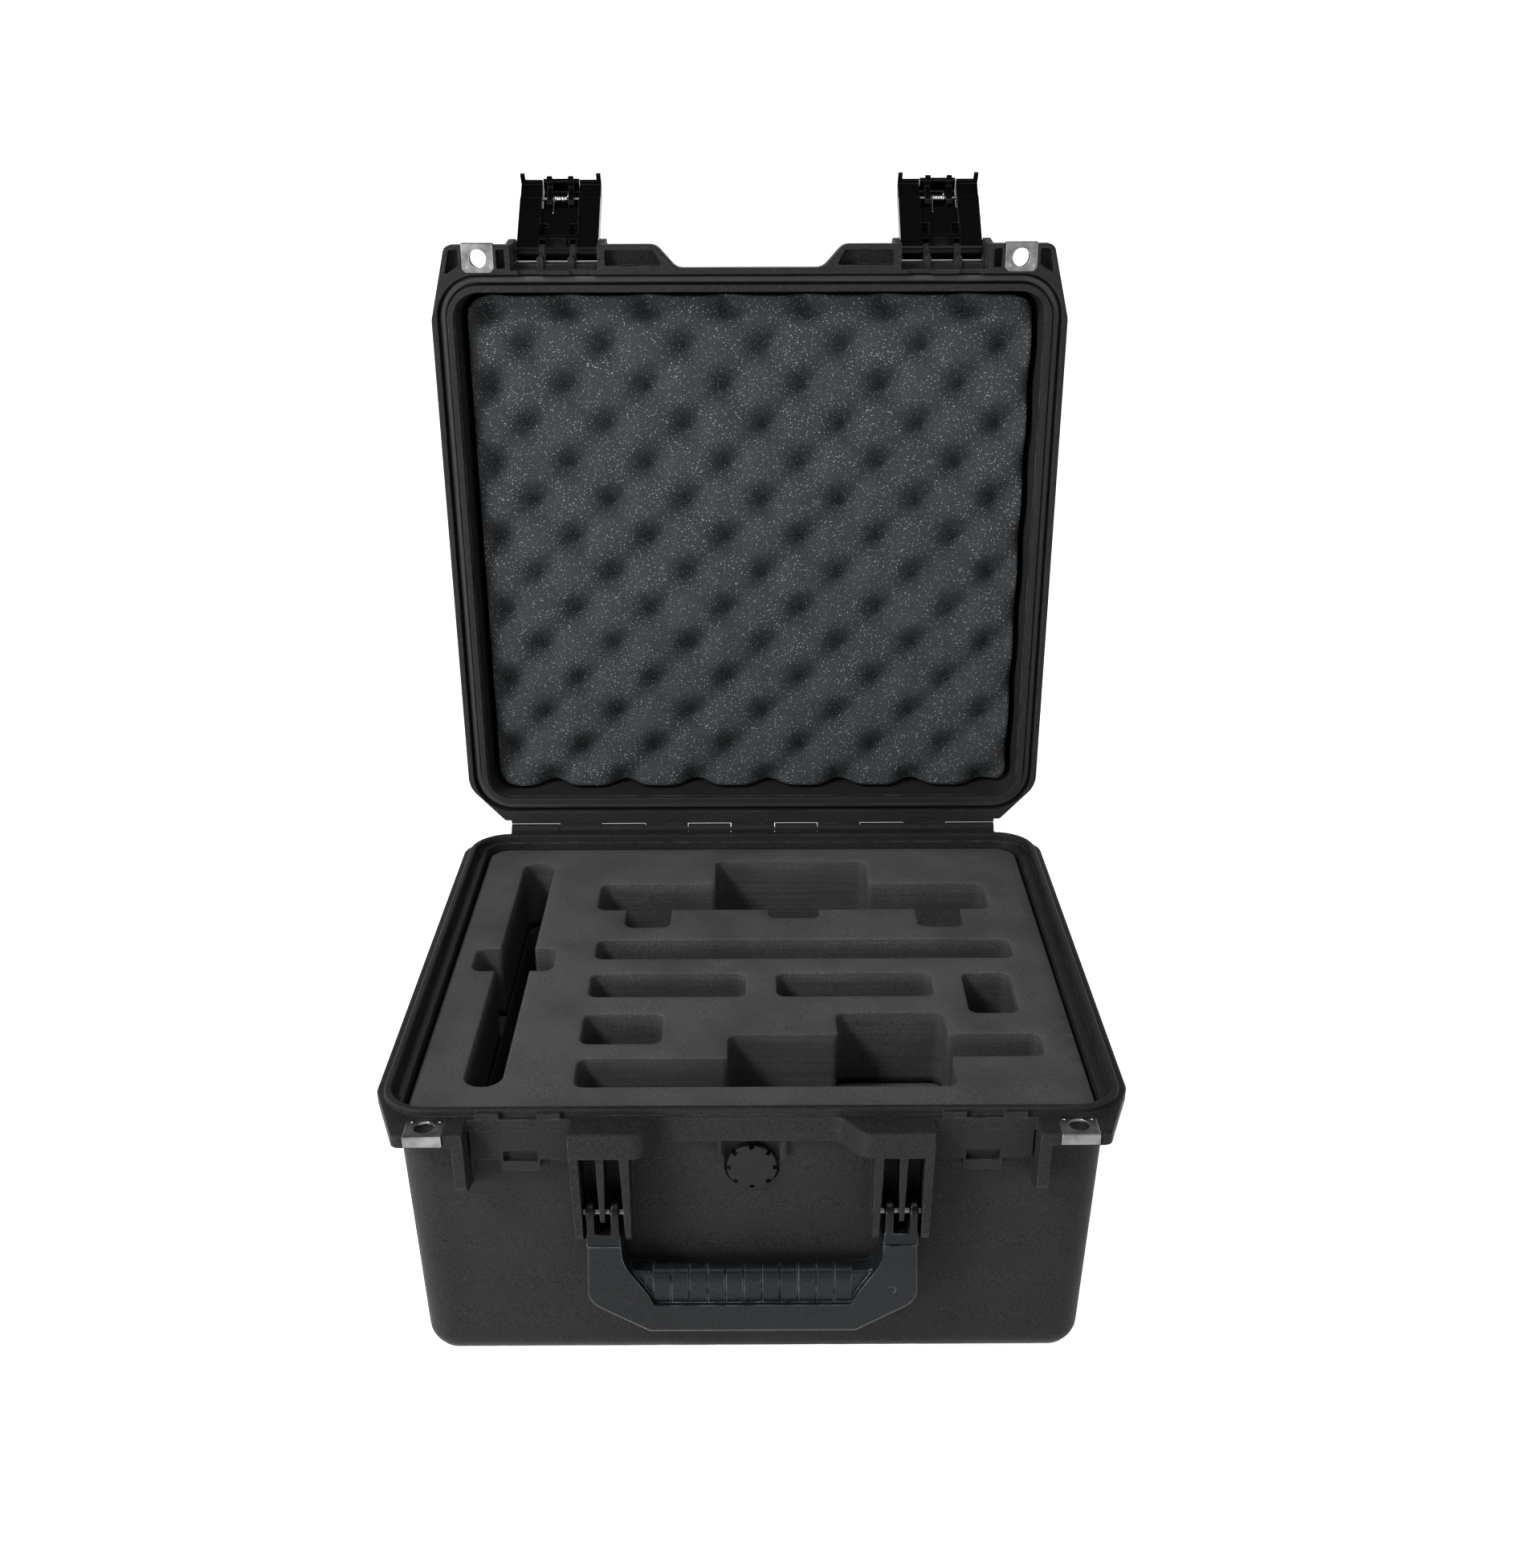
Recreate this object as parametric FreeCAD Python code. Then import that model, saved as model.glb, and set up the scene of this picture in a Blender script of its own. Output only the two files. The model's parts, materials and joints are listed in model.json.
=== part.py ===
"""Hard carrying case for a small drone: hinged lid, two latches, swinging handle and cut foam.

Lengths are in millimetres. Shapes are drawn about the hinge axis with x to the right, r forward from the hinge
and h up from the parting plane, with the lid shut. At the end the lid and latches are opened and everything is
moved so that the origin is the middle of the underside.
"""
import FreeCAD, Part
import math
import os
from FreeCAD import Vector

# ---- overall size ------------------------------------------------------------------------------
RIM_HALF_WIDTH = 205.0
RIM_BACK = 6.8
RIM_FRONT = 398.0
BASE_RIM_THICK = 7.5
LID_RIM_THICK = 12.0
BOSS_THICK = 15.5           # of the base rim between the latches, where it carries the handle
BOSS_HALF_WIDTH = 97.0
SIDE_FRONT = 353.0          # where the straight sides end and the front corners are cut off
BASE_DEPTH = 170.0
LID_DEPTH = 66.0
PARTING_GAP = 0.3
WALL = 3.5
UNDERSIDE_MIDDLE = 197.0    # distance of the row origin in front of the hinge
LID_OPEN_DEG = 91.63
LATCH_OPEN_DEG = 140.0

# ---- body walls: half width, back and front distance, corner radius -----------------------------
BASE_TOP = (193.0, 17.0, 377.5, 19.0)
BASE_FLOOR = (188.7, 21.0, 372.5, 18.0)
LID_TOP = (193.5, 21.5, 373.5, 19.0)
LID_CROWN = (190.0, 24.5, 370.5, 18.0)
BASE_FLOOR_ROUND = 15.0
LID_CROWN_ROUND = 12.0

# ---- seal ---------------------------------------------------------------------------------------
SEAL_HALF_WIDTH = 198.0
SEAL_BACK = 17.3
SEAL_FRONT = 377.2
SEAL_CORNER = 24.0
GROOVE_WIDE = 6.4
GROOVE_DEEP = 8.0
GASKET_WIDE = 4.6
GASKET_THICK = 3.6
TONGUE_WIDE = 4.4
TONGUE_HIGH = 4.0
SHOULDER_DROP = 1.5
LIP_WIDE = 4.2
LIP_PROUD = 1.1
TONGUE_ROUND = 1.4
GASKET_ROUND = 1.5
LIP_ROUND = 0.6

# ---- hinge --------------------------------------------------------------------------------------
KNUCKLE_ENDS = (-176.0, -141.0, -110.0, -78.4, -47.2, -16.0, 16.0, 47.2, 78.4, 110.0, 141.0, 176.0)
KNUCKLE_GAP = 0.4
BASE_BARREL_R = 4.4
LID_BARREL_R = 4.1
RIM_AT_BARRELS = 4.75       # how near the axis both rims come between the end knuckles
HINGE_PIN_R = 1.6
HINGE_PIN_HALF = 175.5
PIN_CLEAR = 0.05
BORE_PAST = 4.5             # how far bores are cut past the ends of their pins

# ---- latches ------------------------------------------------------------------------------------
LATCH_X = 124.3
LATCH_HALF = 26.4
BAY_HALF = 27.1
BAY_CLEAR = 0.6             # between the rims' cut ends and the cheeks' inner faces
CHEEK_THICK = 4.6
BAY_FACE = 382.9            # how far the rim reaches behind a latch
BAY_FLOOR = 386.0           # the raised floor of the lid's bay under the latch's lugs
PIVOT_R = 392.0
PIVOT_H = 30.0
PIVOT_PIN_R = 1.5
BUTTON_PIN_R = 1.0
BUTTON_PIN = (390.0, -15.0)
BUTTON_PIN_HALF = 15.8
BUTTON_HALF = 11.85
BUTTON_END = -29.8          # lower end of the button, with its ribbed lip
BUTTON_RIBS = 4
SPRING = (2.1, 1.3, 4.7)    # outer and inner radius and half length of the coil
SPRING_WIRE_R = 0.4
SPRING_LEGS = (15.0, 8.5)   # lengths of the legs on the lever and on the button
WING_FROM = 12.2            # where the lever's wings begin beside the button
LEDGE_LOW = -25.7           # lower edge of the ledge that the latch hooks under
TAB_HALF = 10.5
TAB_LOW = -32.7
LATCH_OUTER = 397.2
LATCH_INNER = 386.6
LATCH_END = -28.2
CLAW_WIDE = 3.0             # of the claw at each outer corner of the lever
CLAW_TIP = 380.4
LUG_R = 5.4
FINGER = (8.2, 11.6)        # the two lid ribs that also hold the pivot pin
POST_HALF = 2.1             # round-ended guide posts in the latch bay
POST_TOP = 390.6
POST_LOW = 9.8
POST_HIGH = 18.0
LOCATOR = (10.0, 22.6)      # base tabs that centre the lid beside each latch
LOCATOR_HIGH = 3.2

# ---- handle -------------------------------------------------------------------------------------
HANDLE_PIVOT = (388.0, -56.0)
HANDLE_PIN_R = 2.0
HANDLE_PIN_ENDS = (65.4, 94.3)
HANDLE_BACK = 380.0
HANDLE_FACE = 397.6
PRONG_R = 8.8
PRONGS = ((85.0, 89.8), (71.6, 76.6))
HANDLE_SEAM = -73.0         # where the overmould begins on both arms
HANDLE_LOW = -132.3
ARM_OUTER = 90.2
ARM_INNER = 71.2
HANDLE_ROUND = 2.6
GRIP_HALF = 57.0
GRIP_LOW = -117.0
GRIP_TOP = -92.2
GRIP_RIBS = 11
GRIP_SLIT = 0.7             # between two neighbouring grip segments
DIMPLE = (76.5, -103.0, 2.3)    # round moulding mark on the right arm: x, height and radius

# ---- padlock plates -----------------------------------------------------------------------------
HASP_X = 172.7
HASP_HALF = 10.0
HASP_HOLE_R = 5.5
SHELL_HOLE_R = 6.2          # the moulding's hole is a little wider than the plate's
HASP_HOLE_FRONT = 390.0
HASP_BACK = 381.8
PLATE = 1.2
PLATE_LIP = 6.2
PLATE_CLEAR = 0.05
PLATE_CORNER = 2.2          # cut off both inner corners of a plate
PLATE_DENT = (7.4, 3.6, 0.9, 0.35)  # staking dents: x from the middle, distance from the back, radius and depth

# ---- pressure valve -----------------------------------------------------------------------------
VALVE_H = -34.3
VALVE_SEAT = 373.4
VALVE_PAD_R = 18.0
CAP_R = 13.8
CAP_INNER_R = 12.2
CAP_PROUD = 5.2             # front of the cap in front of the seat
CAP_NOTCHES = 8
NOTCH_HALF = 1.4
NOTCH_DEEP = 2.4
FLANGE_R = 12.0
FLANGE_THICK = 1.8
SHANK_R = 7.8
SHANK_BACK = 8.2
THROAT_R = 3.0
MEMBRANE_R = 6.2
ORING = (9.8, 0.4)          # ring and section radius
ORING_GROOVE = (11.0, 8.6, 0.9)     # outer and inner radius and depth
NUT_HALF_ACROSS = 11.0
NUT_THICK = 4.2

# ---- foam ---------------------------------------------------------------------------------------
FOAM_LAYERS = (("base_foam_top", -6.0, -56.0), ("base_foam_middle", -56.3, -126.0),
               ("base_foam_bottom", -126.3, -166.0))
FOAM_GAP = 0.5              # between foam and shell
# (name, x from, x to, distance from, distance to, corner radius); pockets may overlap one another.
# The shallow ones go through the top layer only, the deep ones through the middle layer too.
SHALLOW_POCKETS = (
    ("bar", -104.0, 159.0, 80.0, 120.0, 6.5), ("block", -26.0, 80.0, 42.5, 120.0, 6.5),
    ("lobe_left", -84.0, -54.0, 80.0, 146.0, 6.5), ("lobe_right", 109.0, 139.0, 80.0, 146.0, 6.5),
    ("lobe_middle", 11.0, 44.5, 80.0, 132.5, 6.0), ("long", -100.0, 166.0, 164.0, 190.0, 6.0),
    ("row_left", -100.0, -4.0, 209.5, 239.0, 6.0), ("row_right", 15.0, 111.0, 209.5, 239.0, 6.0),
    ("small", -100.0, -52.5, 260.0, 294.5, 6.0), ("front_a", -99.0, 20.0, 311.0, 341.0, 6.0),
    ("front_b", -14.0, 60.0, 285.0, 341.0, 6.0), ("front_c", 50.0, 114.5, 259.5, 341.0, 6.0),
    ("front_d", 105.0, 168.0, 284.5, 309.5, 6.0), ("slot_cross", -176.0, -125.0, 175.0, 205.0, 6.5))
DEEP_POCKETS = (("slot", -161.0, -139.5, 45.0, 340.0, 10.7), ("battery", 130.0, 160.0, 210.0, 260.0, 6.0))
VALVE_RELIEF = (20.0, 9.5, -14.0)   # half width, depth behind the seat and top of the hollow behind the valve
LID_FOAM = (184.3, 28.7, 366.2, 13.0)
LID_FOAM_LOW = 14.0
LID_FOAM_HIGH = 62.0


X_AXIS = Vector(1, 0, 0)


# ---- drawing helpers ----------------------------------------------------------------------------
def at(x, r, h):
    """A point x to the right, r in front of the hinge and h above the parting plane."""
    return Vector(x, -r, h)


def rounded_edges(points, radii):
    """Lines and arcs through the corners, each rounded by its radius."""
    count = len(points)
    starts, ends, mids = [], [], []
    for i, corner in enumerate(points):
        before = (points[i - 1] - corner).normalize()
        after = (points[(i + 1) % count] - corner).normalize()
        half = before.getAngle(after) / 2
        if radii[i] <= 0 or abs(half - math.pi / 2) < 1e-6:
            starts.append(corner)
            ends.append(corner)
            mids.append(None)
            continue
        reach = radii[i] / math.tan(half)
        starts.append(corner + before * reach)
        ends.append(corner + after * reach)
        bisector = (before + after).normalize()
        mids.append(corner + bisector * (radii[i] / math.sin(half) - radii[i]))
    edges = []
    for i in range(count):
        if mids[i] is not None:
            edges.append(Part.Arc(starts[i], mids[i], ends[i]).toShape())
        following = starts[(i + 1) % count]
        if (following - ends[i]).Length > 1e-6:
            edges.append(Part.makeLine(ends[i], following))
    return edges


def outline(corners, place):
    """A closed wire from (a, b, radius) corners, put in space by place(a, b)."""
    points = [place(a, b) for a, b, _ in corners]
    return Part.Wire(rounded_edges(points, [radius for _, _, radius in corners]))


def plan_prism(corners, low, high):
    """Solid of a plan outline of (x, r, radius) corners between two heights."""
    face = Part.Face(outline(corners, lambda x, r: at(x, r, low)))
    return face.extrude(Vector(0, 0, high - low))


def side_prism(corners, x_from, x_to):
    """Solid of a side outline of (r, h, radius) corners between two x places."""
    face = Part.Face(outline(corners, lambda r, h: at(x_from, r, h)))
    return face.extrude(Vector(x_to - x_from, 0, 0))


def front_prism(corners, r_from, r_to):
    """Solid of a front outline of (x, h, radius) corners between two distances from the hinge."""
    face = Part.Face(outline(corners, lambda x, h: at(x, r_from, h)))
    return face.extrude(Vector(0, r_from - r_to, 0))


def box(x_from, x_to, r_from, r_to, low, high):
    return Part.makeBox(x_to - x_from, r_to - r_from, high - low, at(x_from, r_to, low))


def rod(x_from, x_to, r, h, radius):
    """A round bar along x."""
    return Part.makeCylinder(radius, x_to - x_from, at(x_from, r, h), Vector(1, 0, 0))


def disc(x, h, radius, r_from, r_to):
    """A round plate or bore whose axis points forward."""
    return Part.makeCylinder(radius, r_to - r_from, at(x, r_from, h), Vector(0, -1, 0))


def post(x, r, radius, low, high):
    return Part.makeCylinder(radius, high - low, at(x, r, low))


def rounded_rectangle(half_width, back, front, radius):
    return [(half_width, back, radius), (half_width, front, radius),
            (-half_width, front, radius), (-half_width, back, radius)]


def drafted_block(top, floor, high, low, floor_round, floor_is_low=True):
    """A tub-shaped block whose walls lean in towards the floor, with a rounded floor edge."""
    wires = []
    for size, height in ((top, high), (floor, low)):
        wires.append(outline(rounded_rectangle(*size), lambda x, r, height=height: at(x, r, height)))
    block = Part.makeLoft(wires, True, True)
    rim = [edge for edge in block.Edges if all(abs(v.Z - low) < 0.01 for v in edge.Vertexes)]
    return block.makeFillet(floor_round, rim)


def shrink(size, amount):
    half_width, back, front, radius = size
    return (half_width - amount, back + amount, front - amount, radius - amount)


def fused(shapes):
    first, *others = shapes
    return first.fuse(others).removeSplitter() if others else first


def mirrored(shape):
    return shape.mirror(Vector(0, 0, 0), Vector(1, 0, 0))


def both_sides(shape):
    return [shape, mirrored(shape)]


def ring(half_width, back, front, radius, wide, low, high):
    """A band of even width that follows the rim."""
    grow = wide / 2
    outer = rounded_rectangle(half_width + grow, back - grow, front + grow, radius + grow)
    inner = rounded_rectangle(half_width - grow, back + grow, front - grow, radius - grow)
    return plan_prism(outer, low, high).cut(plan_prism(inner, low - 1, high + 1))


def edges_at(shape, height):
    """Edges that lie flat at a height."""
    return [e for e in shape.Edges if abs(e.BoundBox.ZMin - height) < 0.01 and abs(e.BoundBox.ZMax - height) < 0.01]


def rim_outline(front_half, recess):
    """Plan of the rim: straight sides, cut corners and a front edge that steps back in the middle."""
    right = [(180.5, RIM_BACK, 3.0), (RIM_HALF_WIDTH, 32.5, 18.0), (RIM_HALF_WIDTH, SIDE_FRONT, 10.0),
             (front_half, RIM_FRONT, 5.0), (59.5, RIM_FRONT, 9.0), (46.5, recess, 9.0)]
    left = [(-x, r, radius) for x, r, radius in reversed(right)]
    return right + left


# ---- base shell ---------------------------------------------------------------------------------
BASE_FRONT_HALF = 189.0
BASE_RECESS = 380.8
LID_FRONT_HALF = 193.5
LID_RECESS = 384.0
EDGE_ROUND = 1.2


def side_channels():
    """Hollows under the rim beside the side and back walls, with ribs left between them."""
    skirt = 3.2
    top = -4.0
    low = -BASE_RIM_THICK - 1
    rib = 3.6
    side_first, side_pitch, side_count = 52.0, 42.0, 7
    back_first, back_pitch, back_count = -162.0, 41.0, 8
    cells = []
    for k in range(side_count):
        start = side_first + side_pitch * k
        cells += both_sides(box(BASE_TOP[0] - 0.5, RIM_HALF_WIDTH - skirt, start, start + side_pitch - rib, low, top))
    for k in range(back_count):
        start = back_first + back_pitch * k
        cells.append(box(start, start + back_pitch - rib, RIM_BACK + skirt, BASE_TOP[1] + 0.5, low, top))
    return cells


def bracket_rib(x_top, x_low, low, front_low, corner, front=RIM_FRONT):
    """A rib under the rim that narrows downward; x_top and x_low are its two sides above and below."""
    wall = 374.0
    high = -6.0
    profile = side_prism([(wall, high, 0), (front, high, 0), (front, front_low, corner), (wall, low, 0)],
                         min(x_top + x_low), max(x_top + x_low))
    taper = front_prism([(x_top[0], high, 0), (x_top[1], high, 0), (x_low[1], low, 0), (x_low[0], low, 0)],
                        wall, RIM_FRONT)
    return profile.common(taper)


def handle_bracket():
    """The two outer ribs and the middle web that hold one end of the handle, on the right side."""
    return [bracket_rib((92.0, 97.0), (91.2, 95.0), -82.0, -68.0, 10.0),
            bracket_rib((65.0, 70.4), (65.4, 67.9), -82.0, -68.0, 10.0),
            bracket_rib((78.2, 83.1), (79.6, 81.8), -62.0, -59.5, 5.0, RIM_FRONT - 1.8)]


def latch_landing(x):
    """The raised face, ledge, middle tab and locating tabs that one latch closes against."""
    half = BAY_HALF - 0.5
    wall = 370.5
    face = BAY_FACE - 0.3
    landing = front_prism([(x - half, -1, 0), (x + half, -1, 0), (x + half, LEDGE_LOW, 1.0),
                           (x + TAB_HALF, LEDGE_LOW, 1.0), (x + TAB_HALF, TAB_LOW, 1.5),
                           (x - TAB_HALF, TAB_LOW, 1.5), (x - TAB_HALF, LEDGE_LOW, 1.0),
                           (x - half, LEDGE_LOW, 1.0)], wall, face)
    outer = 1 if x > 0 else -1
    rib = side_prism([(wall, -4, 0), (RIM_FRONT, -4, 0), (RIM_FRONT - 1.6, -38, 8), (wall, -46, 0)],
                     *sorted((x + outer * 27.6, x + outer * 33.8)))
    tabs = [box(*sorted((x + side * LOCATOR[0], x + side * LOCATOR[1])), SEAL_FRONT, face, -1, LOCATOR_HIGH)
            for side in (-1, 1)]
    return [landing, rib] + tabs


def latch_bay_cut(x, low, high):
    """Room in the rim for one latch."""
    half = BAY_HALF + BAY_CLEAR
    return box(x - half, x + half, BAY_FACE, RIM_FRONT + 5, low, high)


def catch_slot(x):
    """Undercut slot in the middle tab that the button's hook snaps into."""
    face = BAY_FACE - 0.3
    half = 9.3
    deep = face - 3.4
    low = -27.0
    mouth = box(x - half, x + half, deep, face + 1, low, -20.3)
    return mouth.fuse(box(x - half, x + half, deep, face - 1.0, low, -18.0))


def rim_at_barrels(low, high):
    """Strip that brings a rim's back edge close to the hinge barrels."""
    return box(KNUCKLE_ENDS[0], KNUCKLE_ENDS[-1], RIM_AT_BARRELS, RIM_BACK + 2, low, high)


def knuckles(first, radius, web_low, web_high):
    """Every second hinge knuckle with the web that ties it to the rim, bored for the pin."""
    parts = []
    for k in range(first, len(KNUCKLE_ENDS) - 1, 2):
        start = KNUCKLE_ENDS[k] + KNUCKLE_GAP / 2
        end = KNUCKLE_ENDS[k + 1] - KNUCKLE_GAP / 2
        barrel = rod(start, end, 0, 0, radius)
        web = box(start, end, 0, RIM_BACK + 1, web_low, web_high)
        parts.append(barrel.fuse(web))
    return parts


def hinge_bore():
    reach = HINGE_PIN_HALF + BORE_PAST
    return rod(-reach, reach, 0, 0, HINGE_PIN_R + PIN_CLEAR)


def handle_bores():
    """Bores for both handle pins."""
    inner, outer = HANDLE_PIN_ENDS
    return both_sides(rod(inner - BORE_PAST, outer + BORE_PAST, *HANDLE_PIVOT, HANDLE_PIN_R + PIN_CLEAR))


def valve_pocket():
    """Recess in the front wall around the valve."""
    half = CAP_R + 1.2
    corner = half - 0.1
    return front_prism([(-half, -BOSS_THICK, 0), (half, -BOSS_THICK, 0), (half, VALVE_H, 0),
                        (half, VALVE_H - half, corner), (-half, VALVE_H - half, corner), (-half, VALVE_H, 0)],
                       VALVE_SEAT, BASE_RECESS + 1)


def plate_plan(x, grow, low, high):
    """Block with a padlock plate's plan: square at the front, its two inner corners cut off."""
    half = HASP_HALF + grow
    back = HASP_BACK - grow
    front = RIM_FRONT + 3
    return plan_prism([(x - half, front, 0), (x + half, front, 0), (x + half, back + PLATE_CORNER, 0.6),
                       (x + half - PLATE_CORNER, back, 0.6), (x - half + PLATE_CORNER, back, 0.6),
                       (x - half, back + PLATE_CORNER, 0.6)], low, high)


def hasp_room(x, plane, sign):
    """Pocket in the rim for a padlock plate, and the padlock hole below it."""
    deep = PLATE + PLATE_CLEAR
    pocket = plate_plan(x, PLATE_CLEAR, *sorted((plane + sign * deep, plane - sign)))
    hole = post(x, HASP_HOLE_FRONT, SHELL_HOLE_R, *sorted((plane - sign, plane + sign * (LID_RIM_THICK + 1))))
    return pocket.fuse(hole)


def base_shell():
    plan = rim_outline(BASE_FRONT_HALF, BASE_RECESS)
    boss = plan_prism(plan, -BOSS_THICK, 0).common(
        box(-BOSS_HALF_WIDTH, BOSS_HALF_WIDTH, BASE_TOP[2] - 4, RIM_FRONT + 1, -BOSS_THICK, 0))
    rim = plan_prism(plan, -BASE_RIM_THICK, 0).fuse(boss).removeSplitter()
    rim = rim.makeFillet(EDGE_ROUND, edges_at(rim, 0))
    rim = rim.cut([latch_bay_cut(x, -BOSS_THICK - 1, 1) for x in (-LATCH_X, LATCH_X)])
    body = drafted_block(BASE_TOP, BASE_FLOOR, -2.0, -BASE_DEPTH, BASE_FLOOR_ROUND)
    tongue = ring(SEAL_HALF_WIDTH, SEAL_BACK, SEAL_FRONT, SEAL_CORNER, TONGUE_WIDE, -2.0, TONGUE_HIGH)
    tongue = tongue.makeFillet(TONGUE_ROUND, edges_at(tongue, TONGUE_HIGH))
    valve_pad = disc(0, VALVE_H, VALVE_PAD_R, VALVE_SEAT - WALL, VALVE_SEAT + 2)
    shell = rim.cut(side_channels())
    inside = drafted_block(shrink(BASE_TOP, WALL), shrink(BASE_FLOOR, WALL), 6.0, WALL - BASE_DEPTH,
                           BASE_FLOOR_ROUND - WALL)
    shoulder = plan_prism(rounded_rectangle(SEAL_HALF_WIDTH - TONGUE_WIDE / 2, SEAL_BACK + TONGUE_WIDE / 2,
                                            SEAL_FRONT - TONGUE_WIDE / 2, SEAL_CORNER - TONGUE_WIDE / 2),
                          -SHOULDER_DROP, TONGUE_HIGH + 1)
    added = [body, tongue, rim_at_barrels(-BASE_RIM_THICK, 0)]
    for x in (-LATCH_X, LATCH_X):
        added += latch_landing(x)
    for part in handle_bracket():
        added += both_sides(part)
    shell = shell.fuse(added)
    shell = shell.cut([inside, shoulder])
    shell = shell.fuse([valve_pad] + knuckles(0, BASE_BARREL_R, -BASE_BARREL_R, -0.3))
    stop_bars = both_sides(box(16.4, 18.6, BASE_TOP[2] - 2, BASE_RECESS - 0.6, -27.0, -BOSS_THICK + 1))
    shell = shell.fuse(stop_bars)
    cuts = [valve_pocket(), disc(0, VALVE_H, SHANK_R + 0.1, VALVE_SEAT - WALL - 3, VALVE_SEAT + 3)]
    cuts += [catch_slot(x) for x in (-LATCH_X, LATCH_X)]
    cuts += [hasp_room(x, 0.0, -1) for x in (-HASP_X, HASP_X)]
    cuts += handle_bores()
    cuts.append(hinge_bore())
    return shell.cut(cuts).removeSplitter()


# ---- lid shell ----------------------------------------------------------------------------------
def latch_cheeks(x):
    """The two outer ears and two inner fingers that hold one latch's pivot pin."""
    wall = 366.0
    parts = []
    for side in (-1, 1):
        inner, outer = side * BAY_HALF, side * (BAY_HALF + CHEEK_THICK)
        parts.append(side_prism([(wall, 8, 0), (397.5, 8, 0), (PIVOT_R + 8, 30, 0), (PIVOT_R + 8, 38, 8),
                                 (PIVOT_R - 8, 38, 6), (wall, 47, 0)], *sorted((x + inner, x + outer))))
        near, far = side * FINGER[0], side * FINGER[1]
        parts.append(side_prism([(wall, 25, 0), (PIVOT_R + 4.8, 25.2, 4.8), (PIVOT_R + 4.8, 34.8, 4.8), (wall, 41, 0)],
                                *sorted((x + near, x + far))))
        middle = x + side * (FINGER[0] + FINGER[1]) / 2
        parts.append(plan_prism([(middle - POST_HALF, wall, 0), (middle + POST_HALF, wall, 0),
                                 (middle + POST_HALF, POST_TOP, POST_HALF - 0.1),
                                 (middle - POST_HALF, POST_TOP, POST_HALF - 0.1)], POST_LOW, POST_HIGH))
    return parts


def lid_pockets():
    """Cored-out pockets in the front rim face of the lid."""
    low, high = 0.0, PARTING_GAP + 8.0
    side = [(184.9, 395.6, 1.0), (191.0, 395.0, 1.5), (194.4, 380.0, 1.0), (184.9, 386.0, 1.0)]
    slot = rounded_box_corners(155.4, 160.8, 384.0, 395.4, 1.0)
    wide = [(92.0, 395.0, 1.2), (60.5, 395.0, 2.0), (55.5, 385.6, 1.2), (92.0, 385.6, 1.2)]
    cells = []
    for corners in (side, slot, wide):
        cells += both_sides(plan_prism(corners, low, high))
    return cells


def rounded_box_corners(x_from, x_to, r_from, r_to, radius):
    return [(x_from, r_from, radius), (x_to, r_from, radius), (x_to, r_to, radius), (x_from, r_to, radius)]


def lid_shell():
    plane = PARTING_GAP
    rim = plan_prism(rim_outline(LID_FRONT_HALF, LID_RECESS), plane, plane + LID_RIM_THICK)
    rim = rim.makeFillet(EDGE_ROUND, edges_at(rim, plane))
    rim = rim.cut([latch_bay_cut(x, plane - 1, plane + LID_RIM_THICK + 1) for x in (-LATCH_X, LATCH_X)])
    body = drafted_block(LID_TOP, LID_CROWN, 8.0, plane + LID_DEPTH, LID_CROWN_ROUND)
    added = [body, rim_at_barrels(plane, plane + LID_RIM_THICK)]
    for x in (-LATCH_X, LATCH_X):
        added += latch_cheeks(x)
        added.append(box(x - BAY_HALF - 1, x + BAY_HALF + 1, LID_TOP[2] - 2, BAY_FLOOR, LID_RIM_THICK - 0.5, 37.0))
    added += knuckles(1, LID_BARREL_R, 0.6, LID_BARREL_R)
    shell = rim.fuse(added)
    inside = drafted_block(shrink(LID_TOP, WALL), shrink(LID_CROWN, WALL), plane + 3.0, plane + LID_DEPTH - WALL,
                           LID_CROWN_ROUND - WALL)
    lip_inner = GROOVE_WIDE / 2 + LIP_WIDE
    mouth = plan_prism(rounded_rectangle(SEAL_HALF_WIDTH - lip_inner, SEAL_BACK + lip_inner,
                                         SEAL_FRONT - lip_inner, SEAL_CORNER - lip_inner), plane - 5, plane + 3.0)
    groove = ring(SEAL_HALF_WIDTH, SEAL_BACK, SEAL_FRONT, SEAL_CORNER, GROOVE_WIDE, plane - 2, plane + GROOVE_DEEP)
    lip_inset = GROOVE_WIDE / 2 + LIP_WIDE / 2
    lip = ring(SEAL_HALF_WIDTH - lip_inset, SEAL_BACK + lip_inset, SEAL_FRONT - lip_inset,
               SEAL_CORNER - lip_inset, LIP_WIDE, plane - LIP_PROUD, plane + 2)
    lip = lip.makeFillet(LIP_ROUND, edges_at(lip, plane - LIP_PROUD))
    panel_deep = 1.0
    crown_panel = plan_prism(rounded_rectangle(150.0, 62.0, 333.0, 16.0), plane + LID_DEPTH - panel_deep,
                             plane + LID_DEPTH + 1)
    cuts = [inside, mouth, groove, crown_panel] + lid_pockets()
    for x in (-LATCH_X, LATCH_X):
        for side in (-1, 1):
            near, far = sorted((x + side * (LOCATOR[0] - 0.6), x + side * (LOCATOR[1] + 0.6)))
            cuts.append(box(near, far, SEAL_FRONT, BAY_FACE + 1, plane - 1, LOCATOR_HIGH + 0.8))
    cuts += [hasp_room(x, plane, 1) for x in (-HASP_X, HASP_X)]
    shell = shell.cut(cuts).fuse(lip)
    reach = BAY_HALF + CHEEK_THICK + BORE_PAST
    bores = [rod(x - reach, x + reach, PIVOT_R, PIVOT_H, PIVOT_PIN_R + PIN_CLEAR) for x in (-LATCH_X, LATCH_X)]
    bores.append(hinge_bore())
    return shell.cut(bores).removeSplitter()


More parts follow.
